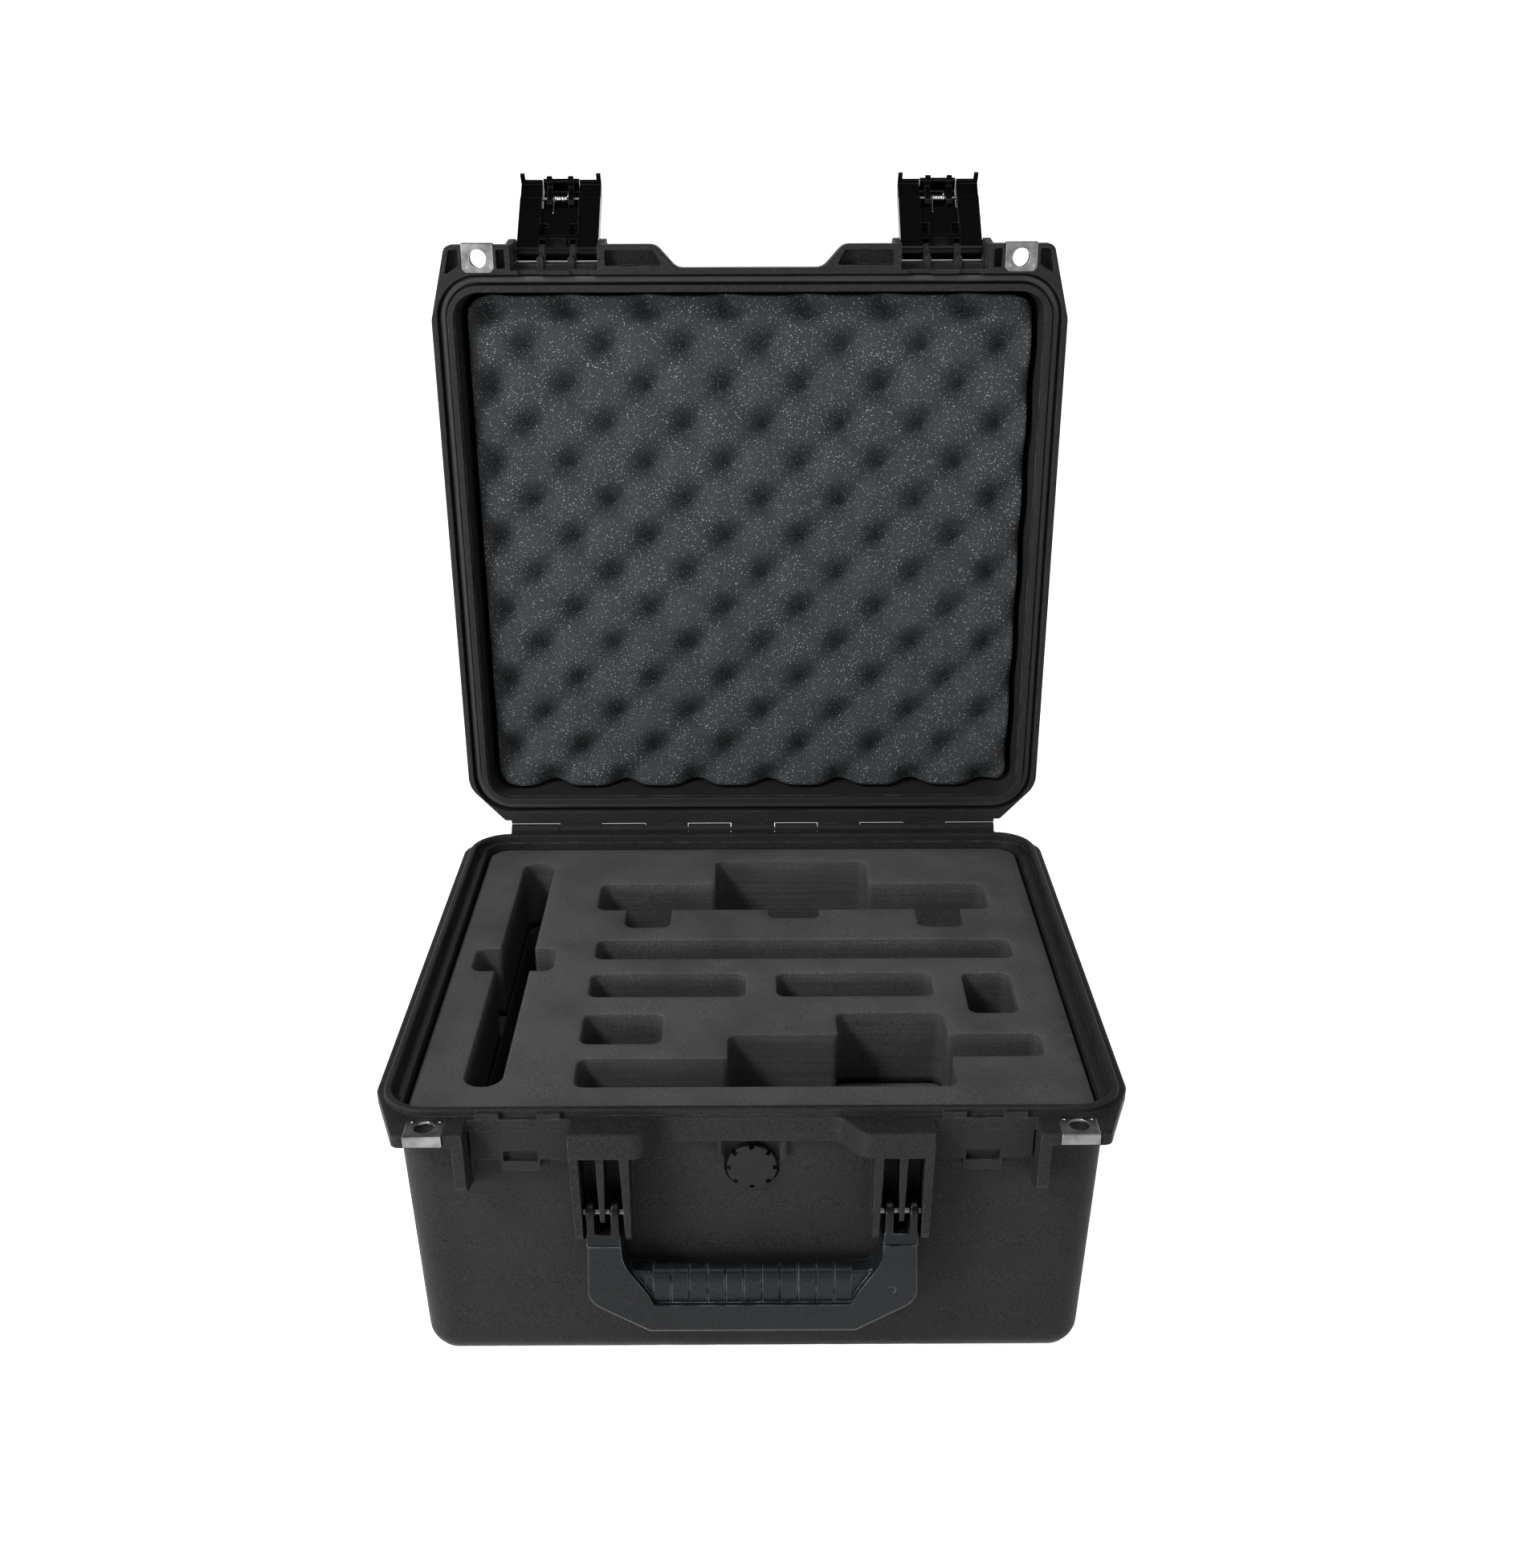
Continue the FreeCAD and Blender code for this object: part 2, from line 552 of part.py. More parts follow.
def gasket():
    top = PARTING_GAP + GROOVE_DEEP
    band = ring(SEAL_HALF_WIDTH, SEAL_BACK, SEAL_FRONT, SEAL_CORNER, GASKET_WIDE, top - GASKET_THICK, top)
    return band.makeFillet(GASKET_ROUND, edges_at(band, top - GASKET_THICK))


# ---- padlock plates -----------------------------------------------------------------------------
def hasp_plate(x, plane, sign):
    """Bent steel plate over the rim with the padlock hole; sign is -1 below the plane and 1 above it."""
    face = RIM_FRONT + PLATE_CLEAR
    section = [(HASP_BACK, plane, 0), (face + PLATE, plane, 1.0), (face + PLATE, plane + sign * PLATE_LIP, 0),
               (face, plane + sign * PLATE_LIP, 0), (face, plane + sign * PLATE, 0),
               (HASP_BACK, plane + sign * PLATE, 0)]
    plate = side_prism(section, x - HASP_HALF, x + HASP_HALF)
    plate = plate.common(plate_plan(x, 0.0, plane - PLATE_LIP - 1, plane + PLATE_LIP + 1))
    across, along, radius, depth = PLATE_DENT
    cuts = [post(x, HASP_HOLE_FRONT, HASP_HOLE_R, plane - 3, plane + 3)]
    for side in (-1, 1):
        cuts.append(post(x + side * across, HASP_BACK + along, radius, *sorted((plane - sign, plane + sign * depth))))
    return plate.cut(cuts)


# ---- latches ------------------------------------------------------------------------------------
def latch_body(x):
    """Latch lever, drawn shut: lugs on the pivot pin above, claws at the free end below."""
    lug_end = PIVOT_H - 8       # where the full-width plate below the lugs begins
    relief = LATCH_INNER + 1.5
    foot = relief - 2.5
    catch = LEDGE_LOW - 0.35
    shelf = -5.0                # lower end of the shelf behind the button's top
    lever = []
    for side in (-1, 1):
        near, far = sorted((x + side * WING_FROM, x + side * LATCH_HALF))
        lever.append(side_prism([(LATCH_INNER, lug_end, 0), (LATCH_OUTER, lug_end, 0), (LATCH_OUTER, -24, 4),
                                 (LATCH_OUTER - 2.2, LATCH_END, 1.0), (foot, LATCH_END, 0.8),
                                 (foot, catch, 0.5), (relief, catch, 0.6), (relief, -12.6, 0),
                                 (LATCH_INNER, -12.6, 0)], near, far))
        claw_near, claw_far = sorted((x + side * (LATCH_HALF - CLAW_WIDE), x + side * LATCH_HALF))
        lever.append(side_prism([(relief + 3, catch, 0), (relief + 3, LATCH_END, 0), (CLAW_TIP, LATCH_END, 0.8),
                                 (CLAW_TIP, catch, 0.5)], claw_near, claw_far))
    plate = LATCH_INNER + 1.9
    half = WING_FROM + 0.1
    lever.append(side_prism([(plate, lug_end, 0), (LATCH_OUTER, lug_end, 0), (LATCH_OUTER, 1.4, 0.5),
                             (plate + 1.2, 1.4, 0), (plate + 1.2, shelf, 0.3), (plate, shelf, 0.3)],
                            x - half, x + half))
    lever.append(rod(x - LATCH_HALF, x + LATCH_HALF, PIVOT_R, PIVOT_H, LUG_R))
    lever.append(side_prism([(PIVOT_R - LUG_R, PIVOT_H, 0), (PIVOT_R + LUG_R, PIVOT_H, 0),
                             (LATCH_OUTER, lug_end - 1, 0), (LATCH_INNER, lug_end - 1, 0)],
                            x - LATCH_HALF, x + LATCH_HALF))
    body = fused(lever)
    cuts = []
    for side in (-1, 1):
        near, far = sorted((x + side * (FINGER[0] - 0.4), x + side * (FINGER[1] + 0.4)))
        cuts.append(box(near, far, PIVOT_R - 12, PIVOT_R + 12, PIVOT_H - LUG_R - 0.3, PIVOT_H + 8))
        middle = x + side * (FINGER[0] + FINGER[1]) / 2
        cuts.append(box(middle - POST_HALF - 0.5, middle + POST_HALF + 0.5, LATCH_INNER - 1, POST_TOP + 0.8,
                        POST_LOW - 0.8, POST_HIGH + 0.9))
    window = box(x - 4.8, x + 4.8, PIVOT_R - 8, PIVOT_R - 2.7, PIVOT_H - 4.4, PIVOT_H + 4.4)
    window.rotate(at(x, PIVOT_R, PIVOT_H), X_AXIS, -50.0)
    cuts.append(window)
    reach = LATCH_HALF + 1
    cuts.append(rod(x - reach, x + reach, PIVOT_R, PIVOT_H, PIVOT_PIN_R + PIN_CLEAR))
    blind = BUTTON_PIN_HALF + 0.4
    cuts.append(rod(x - blind, x + blind, *BUTTON_PIN, BUTTON_PIN_R + PIN_CLEAR))
    return body.cut(cuts).removeSplitter()


def latch_button(x):
    """Release button of a latch: a rocker on its own pin with a hook on the inner side and a ribbed end."""
    pin_r, pin_h = BUTTON_PIN
    face = LATCH_OUTER - 0.2
    back = face - 3.4
    parts = [side_prism([(back, 0.3, 0.6), (face, 0.3, 1.2), (face, -24, 4), (face - 2, BUTTON_END, 1.0),
                         (386.0, BUTTON_END, 1.2), (386.0, -26.6, 1.0), (back, -25.4, 1.5)],
                        x - BUTTON_HALF, x + BUTTON_HALF)]
    for side in (-1, 1):
        near, far = sorted((x + side * 5.2, x + side * 8.8))
        cheek = side_prism([(back + 0.9, -7.5, 0), (back + 0.9, -25.8, 0), (380.1, -25.4, 1.0), (380.1, -19.5, 0.4),
                            (381.2, -19.5, 0.4), (381.2, -22.3, 0.6), (386.5, -21.5, 1.5), (387.4, -9.6, 3.0)],
                           near, far)
        parts.append(cheek)
    pitch = 5.4
    for k in range(BUTTON_RIBS):
        rib_x = x + (k - (BUTTON_RIBS - 1) / 2) * pitch
        parts.append(rod(rib_x - 1.5, rib_x + 1.5, 388.0, BUTTON_END + 0.1, 1.1))
    button = fused(parts)
    return button.cut(rod(x - BUTTON_HALF, x + BUTTON_HALF, pin_r, pin_h, BUTTON_PIN_R + PIN_CLEAR)).removeSplitter()


def latch_spring(x):
    """Torsion spring round the button pin, as a plain sleeve with its two legs."""
    pin_r, pin_h = BUTTON_PIN
    outer, inner, half = SPRING
    body_leg, button_leg = SPRING_LEGS
    leg_x = half - 0.5
    back = outer - SPRING_WIRE_R
    front = outer - SPRING_WIRE_R - 0.15
    sleeve = rod(x - half, x + half, pin_r, pin_h, outer).cut(rod(x - half - 1, x + half + 1, pin_r, pin_h, inner))
    legs = [Part.makeCylinder(SPRING_WIRE_R, body_leg, at(x - leg_x, pin_r - back, pin_h), Vector(0, 0.04, 1)),
            Part.makeCylinder(SPRING_WIRE_R, button_leg, at(x + leg_x, pin_r + front, pin_h), Vector(0, 0, -1))]
    return fused([sleeve] + legs)


# ---- handle -------------------------------------------------------------------------------------
def handle_outline(inset):
    """Front outline of the handle below its seam, drawn smaller by an inset."""
    right = [(ARM_OUTER - inset, HANDLE_SEAM, 0), (ARM_OUTER + 1.6 - inset, -111.5, 14.0),
             (57.5, HANDLE_LOW + inset, 3.0)]
    left = [(-x, h, radius) for x, h, radius in reversed(right)]
    return right + left


def handle_core():
    """Stiff fork ends and the bar that joins them inside the overmould."""
    pivot_r, pivot_h = HANDLE_PIVOT
    face = HANDLE_FACE - 0.8
    (_, outer), (inner, _) = PRONGS
    throat = -65.5              # the bottom of the gap between the prongs
    parts = []
    for x_from, x_to in PRONGS:
        prong = side_prism([(pivot_r - PRONG_R, pivot_h + PRONG_R, PRONG_R - 0.3),
                            (pivot_r + PRONG_R, pivot_h + PRONG_R, PRONG_R - 0.3),
                            (face, HANDLE_SEAM, 0), (HANDLE_BACK, HANDLE_SEAM, 0)], x_from, x_to)
        parts.append(prong.makeFillet(1.3, [e for e in prong.Edges if e.BoundBox.XLength < 0.01
                                            and e.BoundBox.ZMin > throat + 2]))
    block = front_prism([(inner, throat, 0), (outer, throat, 0), (outer, HANDLE_SEAM, 0), (inner, HANDLE_SEAM, 0)],
                        HANDLE_BACK, face)
    parts.append(block)
    parts.append(front_prism([(74.0, HANDLE_SEAM + 1, 0), (87.5, HANDLE_SEAM + 1, 0), (88.6, -110, 10),
                              (56.8, -128.5, 2), (0, -128.5, 0), (0, -116, 0), (62.0, -116, 6), (74.0, -96, 14)],
                             384.5, 393.0))
    right = fused(parts)
    core = fused(both_sides(right))
    return core.cut(handle_bores()).removeSplitter()


def grip_shoulder():
    """Set-back web that fills the corner between the right arm and the end of the grip."""
    corners = [(74.0, HANDLE_SEAM - 4, 0), (71.0, -82.0, 5.0), (68.5, -92.6, 9.0), (GRIP_HALF - 3, -93.4, 0),
               (GRIP_HALF - 3, -116.0, 0), (76.0, -116.0, 0)]
    web = front_prism(corners, 383.0, 393.6)
    return web.makeFillet(2.4, [e for e in web.Edges if abs(e.BoundBox.YMin + 393.6) < 0.01
                                and abs(e.BoundBox.YMax + 393.6) < 0.01 and e.BoundBox.ZMax < HANDLE_SEAM - 4.5
                                and e.BoundBox.ZMin > -93.5 and e.BoundBox.XMax < 73.9])


def handle_cover(core):
    """Soft overmould: smooth front band and arms, and a ribbed grip set back above the band."""
    skin = front_prism(handle_outline(0.0), HANDLE_BACK, HANDLE_FACE)
    outer_edges = [e for e in skin.Edges if e.BoundBox.YLength < 0.01 and e.BoundBox.ZMin < HANDLE_SEAM - 0.5]
    skin = skin.makeFillet(HANDLE_ROUND, outer_edges)
    opening = [(ARM_INNER, HANDLE_SEAM + 1, 0), (ARM_INNER, -84, 26), (56.8, -107, 16), (54.5, -113.2, 2)]
    window = front_prism(opening + [(-x, h, radius) for x, h, radius in reversed(opening)],
                         HANDLE_BACK - 1, HANDLE_FACE + 1)
    grip_segments = []
    pitch = 2 * (GRIP_HALF - 2) / GRIP_RIBS
    for k in range(GRIP_RIBS):
        start = -GRIP_HALF + 2 + k * pitch
        grip_segments.append(side_prism([(382.2, GRIP_LOW, 0), (394.8, GRIP_LOW, 0), (395.2, -98, 5.5),
                                         (392.0, GRIP_TOP, 5.0), (385.5, GRIP_TOP, 5.0), (382.2, -98, 5.0)],
                                        start + GRIP_SLIT / 2, start + pitch - GRIP_SLIT / 2))
    spine = side_prism([(383.0, GRIP_LOW, 0), (394.0, GRIP_LOW, 0), (394.2, -98.4, 5.0), (391.4, GRIP_TOP - 1, 4.4),
                        (386.0, GRIP_TOP - 1, 4.4), (383.0, -98.4, 4.4)], -GRIP_HALF - 2, GRIP_HALF + 2)
    cover = skin.cut(window).fuse(grip_segments + [spine] + both_sides(grip_shoulder()))
    x, height, radius = DIMPLE
    return cover.cut([core, disc(x, height, radius, HANDLE_FACE - 0.3, HANDLE_FACE + 1)]).removeSplitter()


# ---- valve --------------------------------------------------------------------------------------
def valve_body():
    front = VALVE_SEAT + FLANGE_THICK
    flange = disc(0, VALVE_H, FLANGE_R, VALVE_SEAT + 0.05, front)
    shank = disc(0, VALVE_H, SHANK_R, VALVE_SEAT - SHANK_BACK, front)
    throat = disc(0, VALVE_H, THROAT_R, VALVE_SEAT - SHANK_BACK - 1, front + 1)
    seat = disc(0, VALVE_H, MEMBRANE_R + 0.3, VALVE_SEAT + 0.9, front + 1)
    outer, inner, deep = ORING_GROOVE
    groove = disc(0, VALVE_H, outer, VALVE_SEAT - 0.5, VALVE_SEAT + deep).cut(
        disc(0, VALVE_H, inner, VALVE_SEAT - 1, VALVE_SEAT + 2))
    return fused([flange, shank]).cut([throat, seat, groove])


def valve_cap():
    front = VALVE_SEAT + CAP_PROUD
    cap = disc(0, VALVE_H, CAP_R, VALVE_SEAT + 0.4, front)
    cap = cap.makeFillet(0.9, [e for e in cap.Edges if abs(e.BoundBox.YMin + front) < 0.01
                               and abs(e.BoundBox.YMax + front) < 0.01])
    hollow = disc(0, VALVE_H, CAP_INNER_R, VALVE_SEAT, VALVE_SEAT + FLANGE_THICK + 0.2)
    edge = VALVE_H + CAP_R
    notches = []
    for k in range(CAP_NOTCHES):
        notch = box(-NOTCH_HALF, NOTCH_HALF, VALVE_SEAT, front + 1, edge - NOTCH_DEEP, edge + 2)
        notch.rotate(at(0, VALVE_SEAT, VALVE_H), Vector(0, 1, 0), 360 / CAP_NOTCHES * k)
        notches.append(notch)
    return cap.cut([hollow] + notches)


def valve_nut():
    sides = 6
    turn = 2 * math.pi / sides
    corner = NUT_HALF_ACROSS / math.cos(turn / 2)
    hexagon = [(corner * math.cos(turn * k), VALVE_H + corner * math.sin(turn * k), 0) for k in range(sides)]
    front = VALVE_SEAT - WALL - 0.05
    back = front - NUT_THICK
    return front_prism(hexagon, back, front).cut(disc(0, VALVE_H, SHANK_R + PIN_CLEAR, back - 1, front + 1))


# ---- foam ---------------------------------------------------------------------------------------
def pocket_cuts(pockets, low, high):
    return [plan_prism(rounded_box_corners(x0, x1, r0, r1, radius), low, high)
            for _, x0, x1, r0, r1, radius in pockets]


def foam_layer(name, high, low):
    """One loose layer of the base foam with its pockets, as wide as the tub is at the layer's underside."""
    share = (low + 2.0) / (2.0 - BASE_DEPTH)
    size = [top + (floor - top) * share for top, floor in zip(BASE_TOP, BASE_FLOOR)]
    block = plan_prism(rounded_rectangle(*shrink(size, WALL + FOAM_GAP)), low, high)
    if name == "base_foam_bottom":
        return block.makeFillet(BASE_FLOOR_ROUND - WALL - 0.5, edges_at(block, low))
    pockets = pocket_cuts(DEEP_POCKETS, low - 1, high + 1)
    if name == "base_foam_top":
        pockets += pocket_cuts(SHALLOW_POCKETS, low - 1, high + 1)
        half_width, deep, top = VALVE_RELIEF
        pockets.append(box(-half_width, half_width, VALVE_SEAT - deep, VALVE_SEAT + 5, low - 1, top))
    return block.cut(pockets).removeSplitter()


def lid_foam():
    block = plan_prism(rounded_rectangle(*LID_FOAM), LID_FOAM_LOW, LID_FOAM_HIGH)
    return block.makeFillet(8.0, edges_at(block, LID_FOAM_HIGH))


# ---- assembly -----------------------------------------------------------------------------------
HINGE = at(0, 0, 0)
LATCH_PIVOT = at(0, PIVOT_R, PIVOT_H)
TO_ORIGIN = Vector(0, UNDERSIDE_MIDDLE, BASE_DEPTH)


def opened(shape, with_latch=False):
    """A lid or latch piece, drawn shut, turned to the open rest pose."""
    turned = shape.copy()
    if with_latch:
        turned.rotate(LATCH_PIVOT, X_AXIS, -LATCH_OPEN_DEG)
    turned.rotate(HINGE, X_AXIS, -LID_OPEN_DEG)
    return turned


def base_nodes():
    nodes = {"base_shell": base_shell()}
    for name, high, low in FOAM_LAYERS:
        nodes[name] = foam_layer(name, high, low)
    for side, sign in (("left", -1), ("right", 1)):
        nodes[f"hasp_plate_base_{side}"] = hasp_plate(sign * HASP_X, 0.0, -1)
        ends = sorted(sign * end for end in HANDLE_PIN_ENDS)
        nodes[f"handle_pin_{side}"] = rod(*ends, *HANDLE_PIVOT, HANDLE_PIN_R)
    nodes["valve_body"] = valve_body()
    nodes["valve_cap"] = valve_cap()
    nodes["valve_oring"] = Part.makeTorus(*ORING, at(0, VALVE_SEAT + 0.46, VALVE_H), Vector(0, -1, 0))
    nodes["valve_membrane"] = disc(0, VALVE_H, MEMBRANE_R, VALVE_SEAT + 0.95, VALVE_SEAT + 1.25)
    nodes["valve_nut"] = valve_nut()
    nodes["hinge_pin"] = rod(-HINGE_PIN_HALF, HINGE_PIN_HALF, 0, 0, HINGE_PIN_R)
    core = handle_core()
    nodes["handle_core"] = core
    nodes["handle_cover"] = handle_cover(core)
    return nodes


def lid_nodes():
    nodes = {"lid_shell": opened(lid_shell()), "lid_gasket": opened(gasket()), "lid_foam": opened(lid_foam())}
    for side, sign in (("left", -1), ("right", 1)):
        x = sign * LATCH_X
        reach = BAY_HALF + CHEEK_THICK
        nodes[f"hasp_plate_lid_{side}"] = opened(hasp_plate(sign * HASP_X, PARTING_GAP, 1))
        nodes[f"latch_{side}_pivot_pin"] = opened(rod(x - reach, x + reach, PIVOT_R, PIVOT_H, PIVOT_PIN_R))
        nodes[f"latch_{side}_body"] = opened(latch_body(x), True)
        nodes[f"latch_{side}_button"] = opened(latch_button(x), True)
        button_pin = rod(x - BUTTON_PIN_HALF, x + BUTTON_PIN_HALF, *BUTTON_PIN, BUTTON_PIN_R)
        nodes[f"latch_{side}_button_pin"] = opened(button_pin, True)
        nodes[f"latch_{side}_spring"] = opened(latch_spring(x), True)
    return nodes


def main():
    os.makedirs("parts", exist_ok=True)
    for name, shape in {**base_nodes(), **lid_nodes()}.items():
        shape.translate(TO_ORIGIN)
        print(name, "solids", len(shape.Solids), "valid", shape.isValid(), "volume", round(shape.Volume))
        shape.exportStep(f"parts/{name}.step")


main()
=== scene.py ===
"""Open hard carrying case for a small drone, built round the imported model.

Lengths are in metres in the row frame: x to the right, -y to the front, z up, origin in the middle of the
underside. Soft and wound pieces are drawn with the lid shut and turned to the rest pose by the joints.
"""
import json
import math
import random

import bmesh
import bpy
from mathutils import Matrix, Vector, geometry, noise

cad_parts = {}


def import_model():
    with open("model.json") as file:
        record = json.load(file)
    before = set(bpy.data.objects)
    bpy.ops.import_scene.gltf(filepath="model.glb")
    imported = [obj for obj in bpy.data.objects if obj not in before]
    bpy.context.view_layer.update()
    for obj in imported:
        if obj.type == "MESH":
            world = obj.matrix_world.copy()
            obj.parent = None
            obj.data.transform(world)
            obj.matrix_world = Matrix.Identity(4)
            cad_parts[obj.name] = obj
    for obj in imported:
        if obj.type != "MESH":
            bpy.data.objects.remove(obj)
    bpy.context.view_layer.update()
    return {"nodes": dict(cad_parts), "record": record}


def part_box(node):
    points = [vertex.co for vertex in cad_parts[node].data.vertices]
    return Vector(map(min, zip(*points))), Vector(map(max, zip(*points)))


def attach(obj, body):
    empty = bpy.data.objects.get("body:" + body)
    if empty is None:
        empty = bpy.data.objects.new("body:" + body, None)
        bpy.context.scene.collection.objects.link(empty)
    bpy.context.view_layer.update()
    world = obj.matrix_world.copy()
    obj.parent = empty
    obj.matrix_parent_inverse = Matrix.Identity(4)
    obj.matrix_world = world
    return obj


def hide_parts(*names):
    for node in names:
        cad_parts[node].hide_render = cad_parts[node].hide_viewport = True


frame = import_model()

NODES = frame["nodes"]
JOINTS = {joint["name"]: joint for joint in frame["record"]["behaviour"]["joints"]}
SLOT_OF = {part["node"]: part["material_slot"] for part in frame["record"]["subparts"]}


# ---- places -------------------------------------------------------------------------------------
def turn_about(joint, share):
    """The matrix that a joint gives its child when moved from rest by a share of its range."""
    pivot = Vector(joint["pos_m"])
    angle = math.radians(joint["range_deg"][1] * share)
    turn = Matrix.Rotation(angle, 4, Vector(joint["axis"]))
    return Matrix.Translation(pivot) @ turn @ Matrix.Translation(-pivot)


LID_TO_REST = turn_about(JOINTS["lid_hinge"], -1.0)


def link(name, data):
    """Puts an object made from its data into the scene."""
    piece = bpy.data.objects.new(name, data)
    bpy.context.scene.collection.objects.link(piece)
    return piece


def wobble(x, y, z, pitch, seed=0.0):
    """Smooth noise from -1 to 1 that changes over a pitch in metres."""
    return noise.noise(Vector((x / pitch + seed, y / pitch - seed, z / pitch + 2 * seed)))


# ---- materials ----------------------------------------------------------------------------------
class Nodes:
    """A material's node tree, with short names for the nodes used here."""

    def __init__(self, name):
        self.material = bpy.data.materials.new(name)
        self.material.use_nodes = True
        self.tree = self.material.node_tree
        self.shader = self.tree.nodes["Principled BSDF"]
        self.place = self.tree.nodes.new("ShaderNodeTexCoord").outputs["Object"]

    def node(self, kind, **settings):
        made = self.tree.nodes.new("ShaderNode" + kind)
        for key, value in settings.items():
            setattr(made, key, value)
        return made

    def join(self, source, target):
        self.tree.links.new(source, target)

    def fill(self, socket, value):
        if isinstance(value, (int, float, tuple)):
            socket.default_value = value
        else:
            self.join(value, socket)

    def noise(self, scale, detail=2.0, stretch=None, rough=0.5):
        place = self.place
        if stretch:
            mapping = self.node("Mapping")
            mapping.inputs["Scale"].default_value = stretch
            self.join(place, mapping.inputs["Vector"])
            place = mapping.outputs["Vector"]
        made = self.node("TexNoise")
        made.inputs["Scale"].default_value = scale
        made.inputs["Detail"].default_value = detail
        made.inputs["Roughness"].default_value = rough
        self.join(place, made.inputs["Vector"])
        return made.outputs["Fac"]

    def cells(self, scale):
        made = self.node("TexVoronoi")
        made.inputs["Scale"].default_value = scale
        self.join(self.place, made.inputs["Vector"])
        return made

    def math(self, operation, a, b=0.0, clamp=False):
        made = self.node("Math", operation=operation, use_clamp=clamp)
        self.fill(made.inputs[0], a)
        self.fill(made.inputs[1], b)
        return made.outputs[0]

    def range(self, value, low, high, to_low=0.0, to_high=1.0):
        made = self.node("MapRange")
        self.join(value, made.inputs["Value"])
        for key, number in (("From Min", low), ("From Max", high), ("To Min", to_low), ("To Max", to_high)):
            made.inputs[key].default_value = number
        return made.outputs["Result"]

    def mix(self, factor, a, b):
        made = self.node("Mix", data_type="RGBA")
        self.fill(made.inputs["Factor"], factor)
        self.fill(made.inputs["A"], a)
        self.fill(made.inputs["B"], b)
        return made.outputs["Result"]

    def bump(self, height, distance, strength=1.0, normal=None):
        made = self.node("Bump")
        made.inputs["Strength"].default_value = strength
        made.inputs["Distance"].default_value = distance
        self.join(height, made.inputs["Height"])
        if normal is not None:
            self.join(normal, made.inputs["Normal"])
        return made.outputs["Normal"]

    def edge_round_and_highlight_mask(self, radius):
        """A rounded normal, and a mask that is 1 on sharp edges, used to paint highlights along them."""
        rounded = self.node("Bevel", samples=4)
        rounded.inputs["Radius"].default_value = radius
        true = self.node("NewGeometry")
        dot = self.node("VectorMath", operation="DOT_PRODUCT")
        self.join(rounded.outputs["Normal"], dot.inputs[0])
        self.join(true.outputs["Normal"], dot.inputs[1])
        return rounded.outputs["Normal"], self.range(dot.outputs["Value"], 0.995, 0.8)

    def finish(self, color, roughness, normal, specular=0.5, metallic=0.0):
        self.fill(self.shader.inputs["Base Color"], color)
        self.fill(self.shader.inputs["Roughness"], roughness)
        self.join(normal, self.shader.inputs["Normal"])
        self.shader.inputs["Specular IOR Level"].default_value = specular
        self.shader.inputs["Metallic"].default_value = metallic
        return self.material


def gray(value, blue=0.0):
    """A gray tone, tinted by the share by which its blue is raised."""
    return (value, value * (1 + 0.55 * blue), value * (1 + blue), 1.0)


def moulded_plastic(name, dark, light, blue, rough, grain, edge_radius, specular, edge_highlight_tone):
    """Injection-moulded plastic: fine spark grain, faint flow mottling, dust, and a highlight painted along
    sharp edges.

    dark and light are the mottling's two tones, and the edge tone is that of the painted edge highlight;
    blue tints all three.
    """
    n = Nodes(name)
    rounded, edge = n.edge_round_and_highlight_mask(edge_radius)
    mottle = n.noise(11.0, 4.0)
    fine = n.noise(1250.0, 2.0)
    # mask of a painted highlight along sharp edges, made patchy by noise; it also makes those edges a
    # little glossier
    edge_highlight = n.math("MULTIPLY", edge, n.range(n.noise(90.0, 3.0), 0.38, 0.62), clamp=True)
    dust = n.range(n.cells(240.0).outputs["Distance"], 0.05, 0.02, 0.0, 0.55)
    dust = n.math("MULTIPLY", dust, n.range(n.noise(23.0), 0.55, 0.68), clamp=True)
    body = n.mix(n.range(mottle, 0.35, 0.65), gray(dark, blue), gray(light, blue))
    body = n.mix(n.range(fine, 0.36, 0.64, 0.0, grain), body, gray(light * 2.2, blue))
    # painted highlight: sharp edges lightened towards the edge tone
    body = n.mix(n.math("MULTIPLY", edge_highlight, 0.6), body, gray(edge_highlight_tone, blue))
    body = n.mix(dust, body, gray(0.16))
    gloss = n.range(mottle, 0.3, 0.7, rough - 0.05, rough + 0.06)
    gloss = n.math("SUBTRACT", gloss, n.math("MULTIPLY", edge_highlight, 0.1), clamp=True)
    normal = n.bump(n.cells(1500.0).outputs["Distance"], 0.00022 * grain, 0.35, rounded)
    normal = n.bump(fine, 0.0002 * grain, 0.5, normal)
    return n.finish(body, gloss, normal, specular)


def steel(name, rough, streak, tint):
    """Rolled stainless sheet: fine lines along x, small scratches, and a highlight painted along its edges.
    """
    n = Nodes(name)
    rounded, edge = n.edge_round_and_highlight_mask(0.0004)
    lines = n.noise(420.0, 3.0, (0.06, 1.0, 1.0))
    patch = n.noise(130.0, 4.0)
    scratch = n.range(n.noise(900.0, 1.0, (1.0, 0.05, 0.05)), 0.66, 0.72)
    shade = n.mix(n.range(patch, 0.35, 0.68), gray(tint * 0.55), gray(tint))
    # painted highlight: edges lightened towards pale gray
    shade = n.mix(n.math("MULTIPLY", edge, 0.8), shade, gray(0.9))
    gloss = n.range(patch, 0.3, 0.7, rough - 0.06, rough + 0.12)
    gloss = n.math("ADD", gloss, n.math("MULTIPLY", scratch, 0.2), clamp=True)
    normal = n.bump(lines, streak, 0.5, rounded)
    return n.finish(shade, gloss, normal, metallic=1.0)


